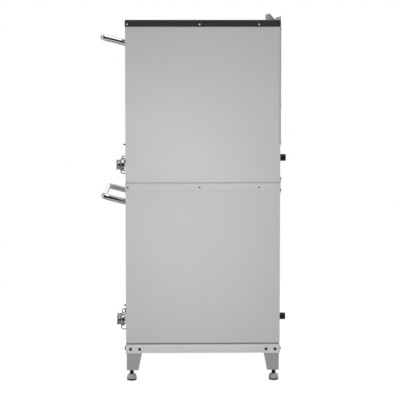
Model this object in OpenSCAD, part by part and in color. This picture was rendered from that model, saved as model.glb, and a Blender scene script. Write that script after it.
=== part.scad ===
// Double-deck gas pizza oven on a low stand.
// The front faces -Y, +Z is up, and the origin is on the floor at the middle of the outline.
// Deck parts are drawn from the deck's underside and from the plane of its front panels.

/* [Body] */
// Width over the side panels
body_w = 1200; // [1190:5:1300]
// Depth from the front panels to the back panel
body_d = 825; // [815:5:900]
// Height of one deck with its cover
deck_h = 866; // [862:2:900]
// Thickness of the stainless panels
sheet = 1.5; // [1.2:0.1:1.8]
// Gap between the base channel and the outer panels of the lower deck
panel_lift = 4; // [3:0.5:6]
// Gap between the lower deck's cover and the outer panels of the upper deck
joint_gap = 1.5; // [1:0.5:3]
// Width of the flanges that turn in behind the front and back panels
return_w = 30; // [26:1:34]
// Gap between neighbouring front panels
panel_gap = 2; // [1:0.5:3]
// Height of the skirt of a deck cover
skirt_h = 37; // [32:1:42]

/* [Chassis] */
// Leg width of the steel angle
angle_w = 30; // [26:1:31]
// Thickness of the steel angle
angle_t = 3; // [2:0.5:4]
// Inset of the chassis from the side panels' outer faces
chassis_inset = 12; // [11:0.5:14]

/* [Stand] */
// Height of the base channel
base_h = 46; // [42:1:50]
// Thickness of the base channel
base_t = 3; // [2:0.5:4]
// Width of the base channel's flanges
base_flange = 30; // [30:1:40]
// Height of the rim that locates the lower deck
rim_h = 4; // [3:0.5:6]
// Width of that rim
rim_w = 15; // [12:1:17]
// Height of a leg below the base channel
leg_h = 94; // [85:1:110]
// Width of a leg at its top
leg_top_w = 85; // [82:1:95]
// Width of a leg at its foot
leg_bottom_w = 63; // [60:1:72]
// Thickness of the leg's steel
leg_t = 2.5; // [2:0.1:3]
// Height of the flange that a leg is bolted through
leg_flange_h = 38; // [34:1:41]
// Inset of a leg's outer faces from the base channel
leg_inset = 3.5; // [3:0.5:5]
// Thickness of a leg's bottom plate
leg_plate_t = 6; // [5:0.5:8]

/* [Feet] */
// Distance of a foot from the front or back plane
foot_in_y = 30; // [28:1:33]
// Distance of a foot from the side plane
foot_in_x = 34; // [28:1:36]
// Diameter of a foot's threaded stem
stem_d = 22; // [18:1:24]
// Stem that shows between leg and pad
stem_show = 22; // [18:1:30]
// Diameter of the pad
pad_d = 53; // [46:1:55]
// Height of the pad
pad_h = 37; // [32:1:40]
// Diameter of the pad's flat underside
pad_flat_d = 38; // [30:1:39]
// Height of the pad's widest ring
pad_belly_z = 15; // [10:1:18]
// Radius of the pad's lower edge
pad_edge_r = 6; // [4:0.5:7]
// Diameter of the threaded bush in a leg
bush_d = 34; // [30:1:36]
// Height of that bush
bush_h = 40; // [34:1:46]
// Length of a foot's stem above the leg's underside
stem_in = 38; // [30:1:60]
// Clearance between stem and bush
stem_play = 0.08; // [0.05:0.01:0.1]

/* [Bolts and screws] */
// Hexagon head over its corners
bolt_head_d = 14; // [12:0.5:15]
// Height of the hexagon head
bolt_head_h = 5; // [3:0.5:6]
// Shank diameter of a bolt
bolt_d = 8; // [6:0.5:9]
// Length of a bolt under its head
bolt_len = 16; // [12:1:20]
// Distance of the first leg bolt from the corner
bolt_edge = 24.4; // [20:0.2:26]
// Distance between a leg's bolts
bolt_pitch = 48.6; // [44:0.2:50]
// Height of the leg bolts above the base channel's underside
bolt_up = 21; // [18:0.5:24]
// Clearance of a shank in its hole
hole_play = 0.25; // [0.1:0.05:0.4]
// Diameter of a cover screw's head
screw_head_d = 9; // [7:0.5:10]
// Height of a cover screw's head
screw_head_h = 2.5; // [1.5:0.1:3]
// Shank diameter of a cover screw
screw_d = 4; // [3:0.5:5]
// Length of a cover screw under its head
screw_len = 8; // [6:0.5:10]
// Distance of the cover screws below the top of the cover
screw_down = 24; // [20:1:27]
// Distance of the first cover screw from the front
screw_first = 12; // [10:1:16]
// Distance of the middle cover screw from the front
screw_middle = 395; // [370:5:420]
// Distance of the last cover screw from the back
screw_last = 114; // [100:2:130]

/* [Door] */
// Distance of a door's upper edge below the top of its deck
door_down = 44; // [43:1:49]
// Thickness of a door
door_t = 45; // [43:1:50]
// Height of the door's lower edge in its deck
door_bottom = 505; // [503:1:508]
// Depth of the outer door pan
door_pan_d = 25; // [22:1:30]
// Depth of the inner door pan
liner_pan_d = 30; // [28:1:34]
// Gap at each side of a door
door_gap = 3; // [2:0.5:4]
// Gap under a door
sill_gap = 5; // [4.5:0.5:6]
// Gap over a door
head_gap = 4; // [3:0.5:5]
// Gap behind a door
seal_gap = 2; // [1.5:0.5:3]
// Border of the front frame under the door opening
frame_border = 8; // [6:1:10]
// Height of the hinge line above the door's lower edge
hinge_up = 8; // [7.5:0.5:9]
// Distance of the hinge line behind the front plane
hinge_back = 8; // [7.5:0.5:9]
// Diameter of a hinge pin
pin_d = 10; // [8:0.5:11]
// Radial clearance of a hinge pin in its bore
pin_play = 0.08; // [0.05:0.01:0.1]
// Length of a hinge pin in the frame's block
pin_reach = 11; // [8:0.5:12]
// Gap between that block and the chassis post beside it
block_gap = 4; // [3:0.5:8]
// Length of the hinge pin's block in the door
pin_block_l = 22; // [18:1:30]
// Wall of the front frame's block around a hinge pin
block_wall = 7; // [5:0.5:8]

/* [Handle] */
// Outer diameter of the handle tube
handle_d = 32; // [26:1:34]
// Wall of the handle tube
handle_wall = 2; // [1.5:0.1:3]
// Distance of the handle's arms from the door's sides
handle_side = 178.5; // [150:0.5:220]
// Reach of the handle in front of the door
handle_reach = 139; // [120:1:150]
// Angle at which the handle's arms rise
handle_rise = 14.4; // [5:0.2:20]
// Radius of the handle's bends, at the middle of the tube
handle_bend = 30; // [24:1:40]
// Distance of the handle's roots below the door's top edge
handle_down = 79; // [70:1:100]

/* [Controls] */
// Height of the control panel's upper edge
control_top = 215; // [212:1:225]
// Height of the knobs above the deck's underside
control_z = 69; // [62:1:71]
// Distance of the gas valve's knob from the middle
valve_x = 225; // [218:1:232]
// Distance of the thermostat's knob from the middle
stat_x = 128; // [122:1:134]
// Distance of the igniter button to the left of the middle
igniter_x = 105; // [80:1:140]
// Diameter of a knob's skirt
knob_skirt_d = 62; // [56:1:66]
// Depth of a knob's skirt
knob_skirt_h = 19; // [14:1:20]
// Gap between a knob's skirt and the panel
knob_gap = 15; // [12:1:18]
// Diameter of a knob's grip
knob_grip_d = 54; // [48:1:58]
// Diameter of the grip's waist
knob_waist_d = 47; // [42:1:50]
// Depth of a knob's grip
knob_grip_h = 24; // [20:1:28]
// Bevel of a knob's edges
knob_edge = 2; // [1:0.5:3]
// Diameter of a knob's spindle
spindle_d = 10; // [8:0.5:12]
// Depth of a spindle's bore in its valve
spindle_in = 20; // [15:1:25]
// Gap between a spindle's end and the bottom of its bore
spindle_gap = 1; // [0.5:0.5:3]
// Radial clearance of a spindle in its valve
spindle_play = 0.08; // [0.05:0.01:0.1]
// Clearance of a spindle in the control panel
panel_hole_play = 1; // [0.5:0.1:1.5]
// Diameter of the igniter button
button_d = 20; // [18:0.5:21]
// Height of the igniter button in front of the panel
button_out = 22; // [20:0.5:24]
// Length of the igniter button behind the panel
button_in = 12; // [10:0.5:14]
// Depth of the dish in the igniter button
button_dish = 2; // [1:0.25:2.5]
// Radius of that dish
button_dish_r = 20; // [16:1:40]
// Travel of the igniter button
button_travel = 5; // [4:0.5:6]
// Diameter of the igniter's bezel
bezel_d = 29; // [28:0.5:32]
// Height of the igniter's bezel in front of the panel
bezel_out = 12; // [10:0.5:14]
// Room for the spring behind the pressed igniter button
spring_room = 7; // [5:0.5:10]
// Clearance of the igniter button in its bezel
button_play = 0.3; // [0.3:0.05:0.5]
// Wall of the igniter's barrel
barrel_wall = 1.8; // [1.5:0.1:2.2]
// Diameter of a knob guard's rod
guard_rod_d = 6; // [5:0.5:7]
// Height of a knob guard
guard_h = 90; // [84:1:94]
// Distance of a guard's upright from the panel
guard_out = 32; // [30:1:36]
// Bend radius of a guard, at the middle of the rod
guard_bend = 12; // [8:1:14]
// Distance of the guards beyond the outer knobs
guard_beside = 48; // [44:1:52]
// Diameter of a panel thumbscrew
thumb_d = 8; // [7:0.5:10]
// Length of a thumbscrew in front of its panel
thumb_out = 11; // [8:0.5:13]
// Length of a thumbscrew behind the front of its panel
thumb_in = 12; // [10:0.5:14]
// Distance of a thumbscrew below the control panel's upper edge
thumb_down = 12; // [10:1:16]
// Distance of a thumbscrew from the chassis post beside it
thumb_clear = 3; // [3:0.5:5]

/* [Louvres] */
// Louvres in a row of the burner cover
louvre_count = 7; // [5:1:9]
// Rows of louvres
louvre_rows = 5; // [3:1:6]
// Length of a louvre
louvre_l = 120; // [90:5:130]
// Distance between the rows
louvre_pitch = 30; // [26:1:34]
// Height of a louvre
louvre_h = 9; // [7:0.5:11]
// Depth of a louvre behind the panel
louvre_d = 7; // [5:0.5:9]

/* [Oven chamber] */
// Space between the chamber's sides and the chassis posts
side_space = 58; // [50:1:70]
// Thickness of the chamber's sheet
liner_t = 2; // [1.5:0.1:3]
// Seam between the sheets of the chamber and of the flue duct
liner_seam = 0.3; // [0.2:0.1:0.5]
// Height of the chamber's underside in its deck
liner_bottom = 330; // [326:1:334]
// Distance of the chamber's roof below the top of its deck
liner_down = 66; // [60:1:68]
// Space between the chamber and the back of the oven
back_space = 100; // [96:1:104]
// Width of the chamber's front beside the oven mouth
mouth_side = 20; // [10:1:40]
// Distance of the oven mouth's upper edge below the chamber's roof
mouth_down = 14; // [12:1:29]
// Thickness of the baking stones
stone_t = 38; // [30:1:44]
// Height of the baking surface in its deck
stone_top = 546; // [542:1:548]
// Gap round a baking stone
stone_gap = 1; // [0.5:0.5:2]
// Width of the ledges that carry the stones
ledge_w = 30; // [24:1:40]
// Thickness of the ledges
ledge_t = 3; // [2:0.5:4]
// Height of the flame deflector's underside in its deck
deflector_z = 458; // [456:1:464]
// Thickness of the flame deflector
deflector_t = 3; // [2:0.5:4]
// Gap between the deflector and the chamber's walls
deflector_gap = 3; // [2:0.5:5]
// Width of the slots in the deflector
deflector_slot_w = 12; // [8:1:16]
// Gap between the chamber's front plate and the chassis
plate_gap = 2; // [1:0.5:4]

/* [Gas] */
// Burners in a deck
burner_count = 4; // [3:1:5]
// Distance between burners
burner_pitch = 230; // [200:5:240]
// Diameter of a burner tube
burner_d = 38; // [34:1:42]
// Wall of a burner tube
burner_wall = 2; // [1.5:0.1:3]
// Height of the burners' middle in the deck
burner_z = 400; // [396:1:404]
// Space between a burner's end and the chamber's back
burner_back = 60; // [30:5:90]
// Gap between the chamber's front plate and a burner
burner_gap = 4; // [3:0.5:6]
// Flame slots along a burner
flame_slots = 12; // [8:1:16]
// Length of a flame slot
flame_slot_l = 24; // [15:1:30]
// Width of a flame slot
flame_slot_w = 4; // [3:0.5:6]
// Distance of the burner plates from a burner's ends
rack_in = 60; // [40:5:90]
// Distance of the first flame slot behind the front burner plate
flame_slot_in = 40; // [30:5:60]
// Thickness of the plates that carry the burners
rack_t = 3; // [2:0.5:4]
// Height of the burner port in the chamber's front
port_h = 80; // [70:1:90]
// Room in that port beside the outer burners
port_side = 40; // [30:1:60]
// Outer diameter of the gas pipe
pipe_d = 26.7; // [24:0.1:28]
// Bore of the gas pipe
pipe_bore_d = 21; // [18:0.5:22]
// Diameter of the pipe fittings
fitting_d = 34; // [30:0.5:36]
// Length of a fitting from the middle of its bend
fitting_l = 27; // [22:1:30]
// Distance of the riser beside the thermostat's body
riser_side = 38; // [32:1:45]
// Reach of the manifold past the outer burners
manifold_over = 30; // [20:1:50]
// Diameter of a gas spud between manifold and burner
spud_d = 12; // [10:1:16]
// Length of a spud inside its burner
spud_in = 6; // [5:1:10]
// Distance of the pipework behind the front plane
pipe_back = 30; // [29:0.5:31]
// Height of the gas inlet in its deck
inlet_z = 126; // [120:1:132]
// Distance of the gas inlet from the right side
inlet_side = 148; // [140:1:160]
// Diameter of the inlet coupling
coupling_d = 36.8; // [35:0.2:40]
// Length of the inlet coupling
coupling_l = 50; // [44:1:60]
// Reach of the inlet coupling behind the oven
inlet_reach = 39; // [34:1:44]
// Diameter of the coupling's thread
inlet_bore_d = 24; // [22:0.5:26]
// Depth of the coupling's thread
inlet_bore_l = 20; // [16:1:24]
// Clearance of the coupling in the back panel
inlet_play = 2; // [1:0.5:3]
// Width of a valve body
valve_w = 60; // [50:1:64]
// Depth of a valve body
valve_d = 56; // [52:1:60]
// Height of the valve bodies above the inlet's height
valve_over = 24; // [20:1:28]
// Height of the valve bodies below the knobs' height
valve_under = 30; // [25:1:32]

/* [Flue] */
// Width of the flue duct
duct_w = 340; // [320:5:360]
// Depth of the flue duct
duct_d = 32; // [28:1:32]
// Height of the vents from the chamber into the duct
vent_h = 40; // [30:1:44]
// Distance of a vent below the chamber's roof
vent_down = 20; // [16:1:30]
// Distance of a vent from the duct's sides
vent_side = 20; // [15:1:40]
// Length of the flue duct below the lower vent
duct_below = 20; // [10:1:40]
// Gap between the flue duct and the chassis rails in front of it
duct_gap = 4; // [2:0.5:6]
// Gap between the flue duct and the covers that it passes
duct_play = 0.5; // [0.3:0.1:1]
// Width of the flue hood
hood_w = 370; // [366:2:400]
// Distance of the hood's deflector in front of the back plane
hood_front = 35; // [34.5:0.5:40]
// Reach of the hood behind the back plane
hood_back = 30; // [24:1:34]
// Height of the hood's deflector
hood_h = 42; // [36:1:48]
// Height of the hood's rear lip
hood_lip_h = 27; // [22:1:30]
// Height of the hood's low ends
hood_low_h = 8; // [6:1:10]

/* [Rear] */
// Height of the rear cover's lower edge in the upper deck
rear_cover_z = 202; // [190:2:220]
// Wrap of the rear cover round the side panels
rear_wrap = 5; // [4:0.5:8]
// Width of the rear cover's hem
rear_hem = 20; // [15:1:30]
// Width of a stacking bracket
bracket_w = 60; // [50:1:66]
// Thickness of a stacking bracket
bracket_t = 4; // [3:0.5:5]
// Height of a stacking bracket above the joint
bracket_over = 30; // [28:1:34]
// Height of a stacking bracket below the joint
bracket_under = 56; // [54:1:60]
// Distance of a stacking bracket's middle from the side
bracket_side = 60; // [55:1:80]
// Distance of a bracket's bolts from its ends
bracket_bolt_in = 12; // [11:0.5:13]

/* [Hidden] */
$fn = 48;

// Extra length of a cutting shape past the face that it cuts
cut = 1;
half_w = body_w / 2;
// The outline runs from the handle's tip to the end of the gas coupling
y_front = (handle_reach - inlet_reach - body_d) / 2;
leg_foot_z = pad_h + stem_show;
base_z = leg_foot_z + leg_h;
lower_z = base_z + base_h + rim_h;
upper_z = lower_z + deck_h;
top_z = upper_z + deck_h;

// Inner and outer faces of the chassis posts, and the planes of their front and back
post_out = half_w - chassis_inset;
post_in = post_out - angle_w;
chassis_y0 = 2 * sheet;
chassis_y1 = body_d - 2 * sheet;
chassis_top = deck_h - sheet;
thumb_x = post_in - thumb_clear;
tab_w = half_w - thumb_x + thumb_d / 2;

// Door, and the door opening in the front frame
door_h = deck_h - door_down - door_bottom;
opening_x = post_in - block_gap - pin_reach;
door_w = 2 * (opening_x - door_gap);
opening_z0 = door_bottom - sill_gap;
opening_z1 = door_bottom + door_h + head_gap;
frame_z0 = opening_z0 - frame_border;
recess_d = door_t + seal_gap;
hinge_z = door_bottom + hinge_up;

// Chamber
chamber_x = post_in - side_space;
mouth_x = chamber_x - mouth_side;
liner_top = deck_h - liner_down;
mouth_h = liner_top - mouth_down - stone_top;
liner_back = body_d - back_space;
plate_x = post_in - plate_gap;
plate_top = chassis_top - angle_w - plate_gap;
stone_z = stone_top - stone_t;
duct_y = body_d - sheet - duct_d;
vent_z1 = liner_top - liner_t - vent_down;
vent_w = duct_w - 2 * vent_side;

// Depth of the igniter's barrel behind the panel
barrel_in = button_in + button_travel + spring_room + barrel_wall;

// Pipework
inlet_x = half_w - inlet_side;
outlet_x = stat_x - valve_w / 2 - riser_side;
burner_x = [for (i = [0 : burner_count - 1]) (i - (burner_count - 1) / 2) * burner_pitch];
burner_y0 = recess_d + liner_t + burner_gap;
burner_l = liner_back - liner_t - burner_back - burner_y0;

function stainless() = "#C6C6C4";
function dark_paint() = "#2E2E2E";
function bright_chrome() = "#E2E2E4";
function black_iron() = "#26262A";
function mild_steel() = "#8E8F91";

// Box between two corners
module box(low, high) {
    translate(low) cube([high[0] - low[0], high[1] - low[1], high[2] - low[2]]);
}

// Round bar along X from the point given
module bar_x(at, l, d) {
    translate(at) rotate([0, 90, 0]) cylinder(h = l, d = d);
}

// Round bar along +Y from the point given
module bar_y(at, l, d) {
    translate(at) rotate([-90, 0, 0]) cylinder(h = l, d = d);
}

// Round bar along +Z from the point given
module bar_z(at, l, d) {
    translate(at) cylinder(h = l, d = d);
}

// Puts a deck part in place: level 0 is the lower deck and 1 the upper one
module on_deck(level) {
    translate([0, y_front, level == 0 ? lower_z : upper_z]) children();
}

// Draws a part and its mirror image across the middle plane
module both_sides() {
    children();
    mirror([1, 0, 0]) children();
}

// Draws a part at all four corners of the stand from its front right corner
module four_corners() {
    both_sides() {
        children();
        translate([0, 2 * y_front + body_d, 0]) mirror([0, 1, 0]) children();
    }
}

// Stand

module base_ring(outset, wall, low, high) {
    difference() {
        box([-half_w - outset, -outset, low], [half_w + outset, body_d + outset, high]);
        box([-half_w - outset + wall, -outset + wall, low - cut],
            [half_w + outset - wall, body_d + outset - wall, high + cut]);
    }
}

module base_frame() {
    color(stainless()) translate([0, y_front, base_z]) difference() {
        union() {
            base_ring(0, base_t, 0, base_h);
            base_ring(0, base_flange, 0, base_t);
            base_ring(0, base_flange, base_h - base_t, base_h);
            base_ring(-chassis_inset, rim_w, base_h - base_t, base_h + rim_h);
        }
        leg_bolt_lines(bolt_d + 2 * hole_play, base_flange, 0);
    }
}

// Bars along the bolts of every leg, drawn in the stand's own frame
module leg_bolt_lines(d, l, out) {
    for (side = [-1, 1], at = [bolt_edge, bolt_edge + bolt_pitch]) {
        for (y = [at, body_d - at])
            translate([side * (half_w + out), y, bolt_up]) rotate([0, -90 * side, 0]) cylinder(h = l, d = d);
        translate([side * (half_w - at), -out, bolt_up]) rotate([-90, 0, 0]) cylinder(h = l, d = d);
        translate([side * (half_w - at), body_d + out, bolt_up]) rotate([90, 0, 0]) cylinder(h = l, d = d);
    }
}

// The tapered outline of a leg's side, from its corner inwards
module leg_side() {
    linear_extrude(leg_t)
        polygon([[leg_inset, 0], [leg_bottom_w + leg_inset, 0],
                 [leg_top_w, leg_h - leg_t], [leg_inset, leg_h - leg_t]]);
}

module one_leg() {
    translate([half_w, y_front, leg_foot_z]) {
        translate([-leg_inset - leg_t, 0, 0]) rotate([90, 0, 90]) leg_side();
        translate([0, leg_inset, 0]) rotate([90, 0, 180]) leg_side();
        box([-leg_top_w, -leg_t, leg_h - leg_t], [leg_t, leg_top_w, leg_h]);
        box([0, -leg_t, leg_h - leg_t], [leg_t, leg_top_w, leg_h + leg_flange_h]);
        box([-leg_top_w, -leg_t, leg_h - leg_t], [leg_t, 0, leg_h + leg_flange_h]);
        box([-leg_bottom_w - leg_inset, leg_inset, 0], [-leg_inset, leg_bottom_w + leg_inset, leg_plate_t]);
        bar_z([-foot_in_x, foot_in_y, 0], bush_h, bush_d);
    }
}

module legs() {
    color(stainless()) difference() {
        four_corners() one_leg();
        four_corners() bar_z([half_w - foot_in_x, y_front + foot_in_y, leg_foot_z - cut], bush_h + 2 * cut,
                             stem_d + 2 * stem_play);
        translate([0, y_front, base_z]) leg_bolt_lines(bolt_d + 2 * hole_play, leg_t + 2 * cut, leg_t + cut);
    }
}

// A foot's half section: flat underside, swollen pad, domed top and stem
function pad_profile() = let(edge_x = pad_d / 2 - pad_edge_r, stem_r = stem_d / 2) concat(
    [[0, 0], [pad_flat_d / 2, 0]],
    [for (a = [-60 : 20 : 0]) [edge_x + pad_edge_r * cos(a), pad_edge_r * (1 + sin(a))]],
    [for (a = [0 : 15 : 90])
        [stem_r + (pad_d / 2 - stem_r) * cos(a), pad_belly_z + (pad_h - pad_belly_z) * sin(a)]],
    [[stem_r, leg_foot_z + stem_in], [0, leg_foot_z + stem_in]]
);

module levelling_foot(side, end) {
    y = end < 0 ? y_front + foot_in_y : y_front + body_d - foot_in_y;
    color(mild_steel()) translate([side * (half_w - foot_in_x), y, 0])
        rotate_extrude() polygon(pad_profile());
}

// A hexagon bolt along +Z with the underside of its head at zero
module hex_bolt() {
    cylinder(h = bolt_head_h, d = bolt_head_d, $fn = 6);
    translate([0, 0, -bolt_len]) cylinder(h = bolt_len + cut, d = bolt_d);
}

module hex_bolts() {
    color(mild_steel()) {
        translate([0, y_front, base_z + bolt_up])
            for (side = [-1, 1], at = [bolt_edge, bolt_edge + bolt_pitch]) {
                for (y = [at, body_d - at])
                    translate([side * (half_w + leg_t), y, 0]) rotate([0, 90 * side, 0]) hex_bolt();
                translate([side * (half_w - at), -leg_t, 0]) rotate([90, 0, 0]) hex_bolt();
                translate([side * (half_w - at), body_d + leg_t, 0]) rotate([-90, 0, 0]) hex_bolt();
            }
        translate([0, y_front + body_d + bracket_t, upper_z])
            for (x = [bracket_side - half_w, half_w - bracket_side], z = bracket_bolt_z())
                translate([x, 0, z]) rotate([-90, 0, 0]) hex_bolt();
    }
}

// Deck casing

module cover_screw_lines(d, l, out) {
    for (side = [-1, 1], y = [screw_first, screw_middle, body_d - screw_last])
        translate([side * (half_w + out), y, deck_h - screw_down]) rotate([0, -90 * side, 0])
            cylinder(h = l, d = d);
}

module top_cover(paint) {
    color(paint) difference() {
        box([-half_w - sheet, -sheet, deck_h - skirt_h], [half_w + sheet, body_d + sheet, deck_h]);
        box([-half_w, 0, deck_h - skirt_h - cut], [half_w, body_d, deck_h - sheet]);
        box([-duct_w / 2 - duct_play, duct_y - duct_play, deck_h - sheet - cut],
            [duct_w / 2 + duct_play, body_d - sheet, deck_h + cut]);
        cover_screw_lines(screw_d + 2 * hole_play, 2 * sheet + cut, sheet + cut);
    }
}

module cover_screws() {
    color(mild_steel()) for (level = [0, 1]) on_deck(level) {
        cover_screw_lines(screw_d, screw_len + cut, sheet + cut);
        cover_screw_lines(screw_head_d, screw_head_h, sheet + screw_head_h);
    }
}

// Height of the outer panels' lower edges in their deck
function panel_z0(level) = level == 0 ? panel_lift : joint_gap;

module side_panel(side, level) {
    z0 = panel_z0(level);
    color(stainless()) mirror([side < 0 ? 1 : 0, 0, 0]) difference() {
        union() {
            box([half_w - sheet, 0, z0], [half_w, body_d, chassis_top]);
            box([half_w - return_w, sheet, z0], [half_w, 2 * sheet, chassis_top]);
            box([half_w - tab_w, sheet, z0], [half_w, 2 * sheet, frame_z0]);
            box([half_w - return_w, body_d - 2 * sheet, z0], [half_w, body_d - sheet, chassis_top]);
        }
        cover_screw_lines(screw_d + 2 * hole_play, sheet + 2 * cut, cut);
        thumb_lines(thumb_d / 2 + 2 * hole_play, 2 * sheet + 2 * cut, cut);
    }
}

module back_panel(level) {
    color(stainless()) difference() {
        box([sheet - half_w, body_d - sheet, panel_z0(level)], [half_w - sheet, body_d, chassis_top]);
        bar_y([inlet_x, body_d - sheet - cut, inlet_z], sheet + 2 * cut, coupling_d + 2 * inlet_play);
        for (x = [bracket_side - half_w, half_w - bracket_side])
            bar_y([x, body_d - sheet - cut, level == 0 ? deck_h + bracket_bolt_z()[0] : bracket_bolt_z()[1]],
                  sheet + 2 * cut, bolt_d + 2 * hole_play);
    }
}

// A steel angle between two corners: a wall along one face and a shelf along another.
// wall is the face that the upright leg stands on, such as "x1", and shelf is "z0" or "z1".
module angle_rail(low, high, wall, shelf) {
    if (wall == "x0") box(low, [low[0] + angle_t, high[1], high[2]]);
    if (wall == "x1") box([high[0] - angle_t, low[1], low[2]], high);
    if (wall == "y0") box(low, [high[0], low[1] + angle_t, high[2]]);
    if (wall == "y1") box([low[0], high[1] - angle_t, low[2]], high);
    if (shelf == "z0") box(low, [high[0], high[1], low[2] + angle_t]);
    if (shelf == "z1") box([low[0], low[1], high[2] - angle_t], high);
}

module chassis() {
    rear_rail_y1 = duct_y - duct_gap;
    color(mild_steel()) {
        both_sides() {
            // Posts
            box([post_out - angle_t, chassis_y0, 0], [post_out, chassis_y0 + angle_w, chassis_top]);
            box([post_in, chassis_y0, 0], [post_out, chassis_y0 + angle_t, chassis_top]);
            box([post_out - angle_t, chassis_y1 - angle_w, 0], [post_out, chassis_y1, chassis_top]);
            box([post_in, chassis_y1 - angle_t, 0], [post_out, chassis_y1, chassis_top]);
            // Side rails
            angle_rail([post_in, chassis_y0, 0], [post_out, chassis_y1, angle_w], "x1", "z0");
            for (z = [liner_bottom, chassis_top])
                angle_rail([post_in, chassis_y0, z - angle_w], [post_out, chassis_y1, z], "x1", "z1");
        }
        // Cross rails
        angle_rail([-post_out, chassis_y0, 0], [post_out, chassis_y0 + angle_w, angle_w], "y0", "z0");
        angle_rail([-post_out, rear_rail_y1 - angle_w, 0], [post_out, rear_rail_y1, angle_w], "y1", "z0");
        angle_rail([-post_out, chassis_y0, chassis_top - angle_w],
                   [post_out, chassis_y0 + angle_w, chassis_top], "y0", "z1");
        angle_rail([-post_out, rear_rail_y1 - angle_w, chassis_top - angle_w],
                   [post_out, rear_rail_y1, chassis_top], "y1", "z1");
        // Beams under the chamber
        for (y1 = [recess_d + angle_w, liner_back - 2 * angle_w])
            angle_rail([-post_out, y1 - angle_w, liner_bottom - angle_w],
                       [post_out, y1, liner_bottom], "y1", "z1");
    }
}

module front_frame() {
    block_y1 = hinge_back + pin_d / 2 + block_wall;
    block_z1 = hinge_z + pin_d / 2 + block_wall;
    color(stainless()) difference() {
        union() {
            box([sheet - half_w, 0, frame_z0], [half_w - sheet, sheet, chassis_top]);
            box([-opening_x - sheet, 0, opening_z0 - sheet],
                [opening_x + sheet, recess_d, opening_z1 + sheet]);
            both_sides() box([opening_x, 0, opening_z0 - sheet], [opening_x + pin_reach, block_y1, block_z1]);
        }
        box([-opening_x, -cut, opening_z0], [opening_x, recess_d + cut, opening_z1]);
        bar_x([-half_w, hinge_back, hinge_z], body_w, pin_d + 2 * pin_play);
    }
}

// A louvre's blade, which leans inwards from its lower edge, with a cheek at each end
module louvre_blade() {
    rotate([90, 0, 90]) translate([0, 0, -louvre_l / 2]) linear_extrude(louvre_l)
        polygon([[0, 0], [louvre_d, louvre_h], [0, louvre_h]]);
}

module burner_cover() {
    z0 = control_top + panel_gap;
    z1 = frame_z0 - panel_gap;
    step_x = (body_w - 2 * return_w) / louvre_count;
    first_z = (z0 + z1) / 2 - (louvre_rows - 1) / 2 * louvre_pitch - louvre_h / 2;
    places = [for (c = [0 : louvre_count - 1], r = [0 : louvre_rows - 1])
        [(c - (louvre_count - 1) / 2) * step_x, 0, first_z + r * louvre_pitch]];
    color(stainless()) difference() {
        union() {
            box([sheet - half_w, 0, z0], [half_w - sheet, sheet, z1]);
            for (p = places) translate(p) louvre_blade();
        }
        for (p = places) translate(p) louvre_opening();
    }
}

// The air gap over a louvre's blade, open to the front and upwards behind the panel
module louvre_opening() {
    inner_l = louvre_l - 2 * sheet;
    blade_h = sheet * sqrt(1 + pow(louvre_h / louvre_d, 2));
    back = louvre_d * (1 - blade_h / louvre_h);
    rotate([90, 0, 90]) translate([0, 0, -inner_l / 2]) linear_extrude(inner_l)
        polygon([[-cut, blade_h], [0, blade_h], [back, louvre_h], [back, louvre_h + cut],
                 [sheet, louvre_h + cut], [sheet, louvre_h], [-cut, louvre_h]]);
}

module thumb_lines(d, l, out) {
    for (x = [-thumb_x, thumb_x])
        bar_y([x, -out, control_top - thumb_down], l, d);
}

module control_panel(level) {
    color(stainless()) difference() {
        box([sheet - half_w, 0, panel_z0(level)], [half_w - sheet, sheet, control_top]);
        for (x = [valve_x, stat_x])
            bar_y([x, -cut, control_z], sheet + 2 * cut, spindle_d + 2 * panel_hole_play);
        bar_y([-igniter_x, -cut, control_z], sheet + 2 * cut,
              button_d + 2 * (barrel_wall + button_play + hole_play));
        thumb_lines(thumb_d / 2 + 2 * hole_play, sheet + 2 * cut, cut);
    }
}

module panel_thumbscrews() {
    color(black_iron()) for (level = [0, 1]) on_deck(level) {
        thumb_lines(thumb_d, thumb_out, thumb_out);
        thumb_lines(thumb_d / 2, thumb_in + cut, cut);
    }
}

module rear_cover() {
    z0 = rear_cover_z;
    z1 = deck_h - skirt_h - panel_gap;
    x = half_w + sheet;
    color(mild_steel()) on_deck(1) difference() {
        box([-x, body_d - rear_wrap, z0], [x, body_d + 2 * sheet, z1]);
        box([-half_w, body_d - rear_wrap - cut, z0 - cut], [half_w, body_d, z1 + cut]);
        box([-x + rear_hem, body_d + sheet, z0 + rear_hem],
            [x - rear_hem, body_d + 2 * sheet + cut, z1 - rear_hem]);
    }
}

// Heights of a bracket's lower and upper bolt, from the joint between the decks
function bracket_bolt_z() = [bracket_bolt_in - bracket_under, bracket_over - bracket_bolt_in];

module stacking_brackets() {
    side_x = half_w - bracket_side;
    step = [[0, -bracket_under], [bracket_t, -bracket_under], [bracket_t, bracket_over], [0, bracket_over],
            [0, panel_gap], [sheet, panel_gap], [sheet, -skirt_h - panel_gap], [0, -skirt_h - panel_gap]];
    color(mild_steel()) translate([0, y_front + body_d, upper_z]) difference() {
        for (x = [-side_x, side_x])
            translate([x - bracket_w / 2, 0, 0]) rotate([90, 0, 90]) linear_extrude(bracket_w) polygon(step);
        for (x = [-side_x, side_x], z = bracket_bolt_z())
            bar_y([x, -cut, z], bracket_t + 2 * cut, bolt_d + 2 * hole_play);
    }
}

// Chamber

module insulation() {
    color("#D9CBA4") difference() {
        box([-plate_x, recess_d + liner_t, liner_bottom], [plate_x, duct_y - duct_play, plate_top]);
        box([-chamber_x - liner_t, recess_d, liner_bottom - cut],
            [chamber_x + liner_t, liner_back, liner_top]);
        box([-vent_w / 2 - liner_t, liner_back - cut, vent_z1 - vent_h - liner_t - liner_seam],
            [vent_w / 2 + liner_t, duct_y, vent_z1 + liner_t + liner_seam]);
    }
}

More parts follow.
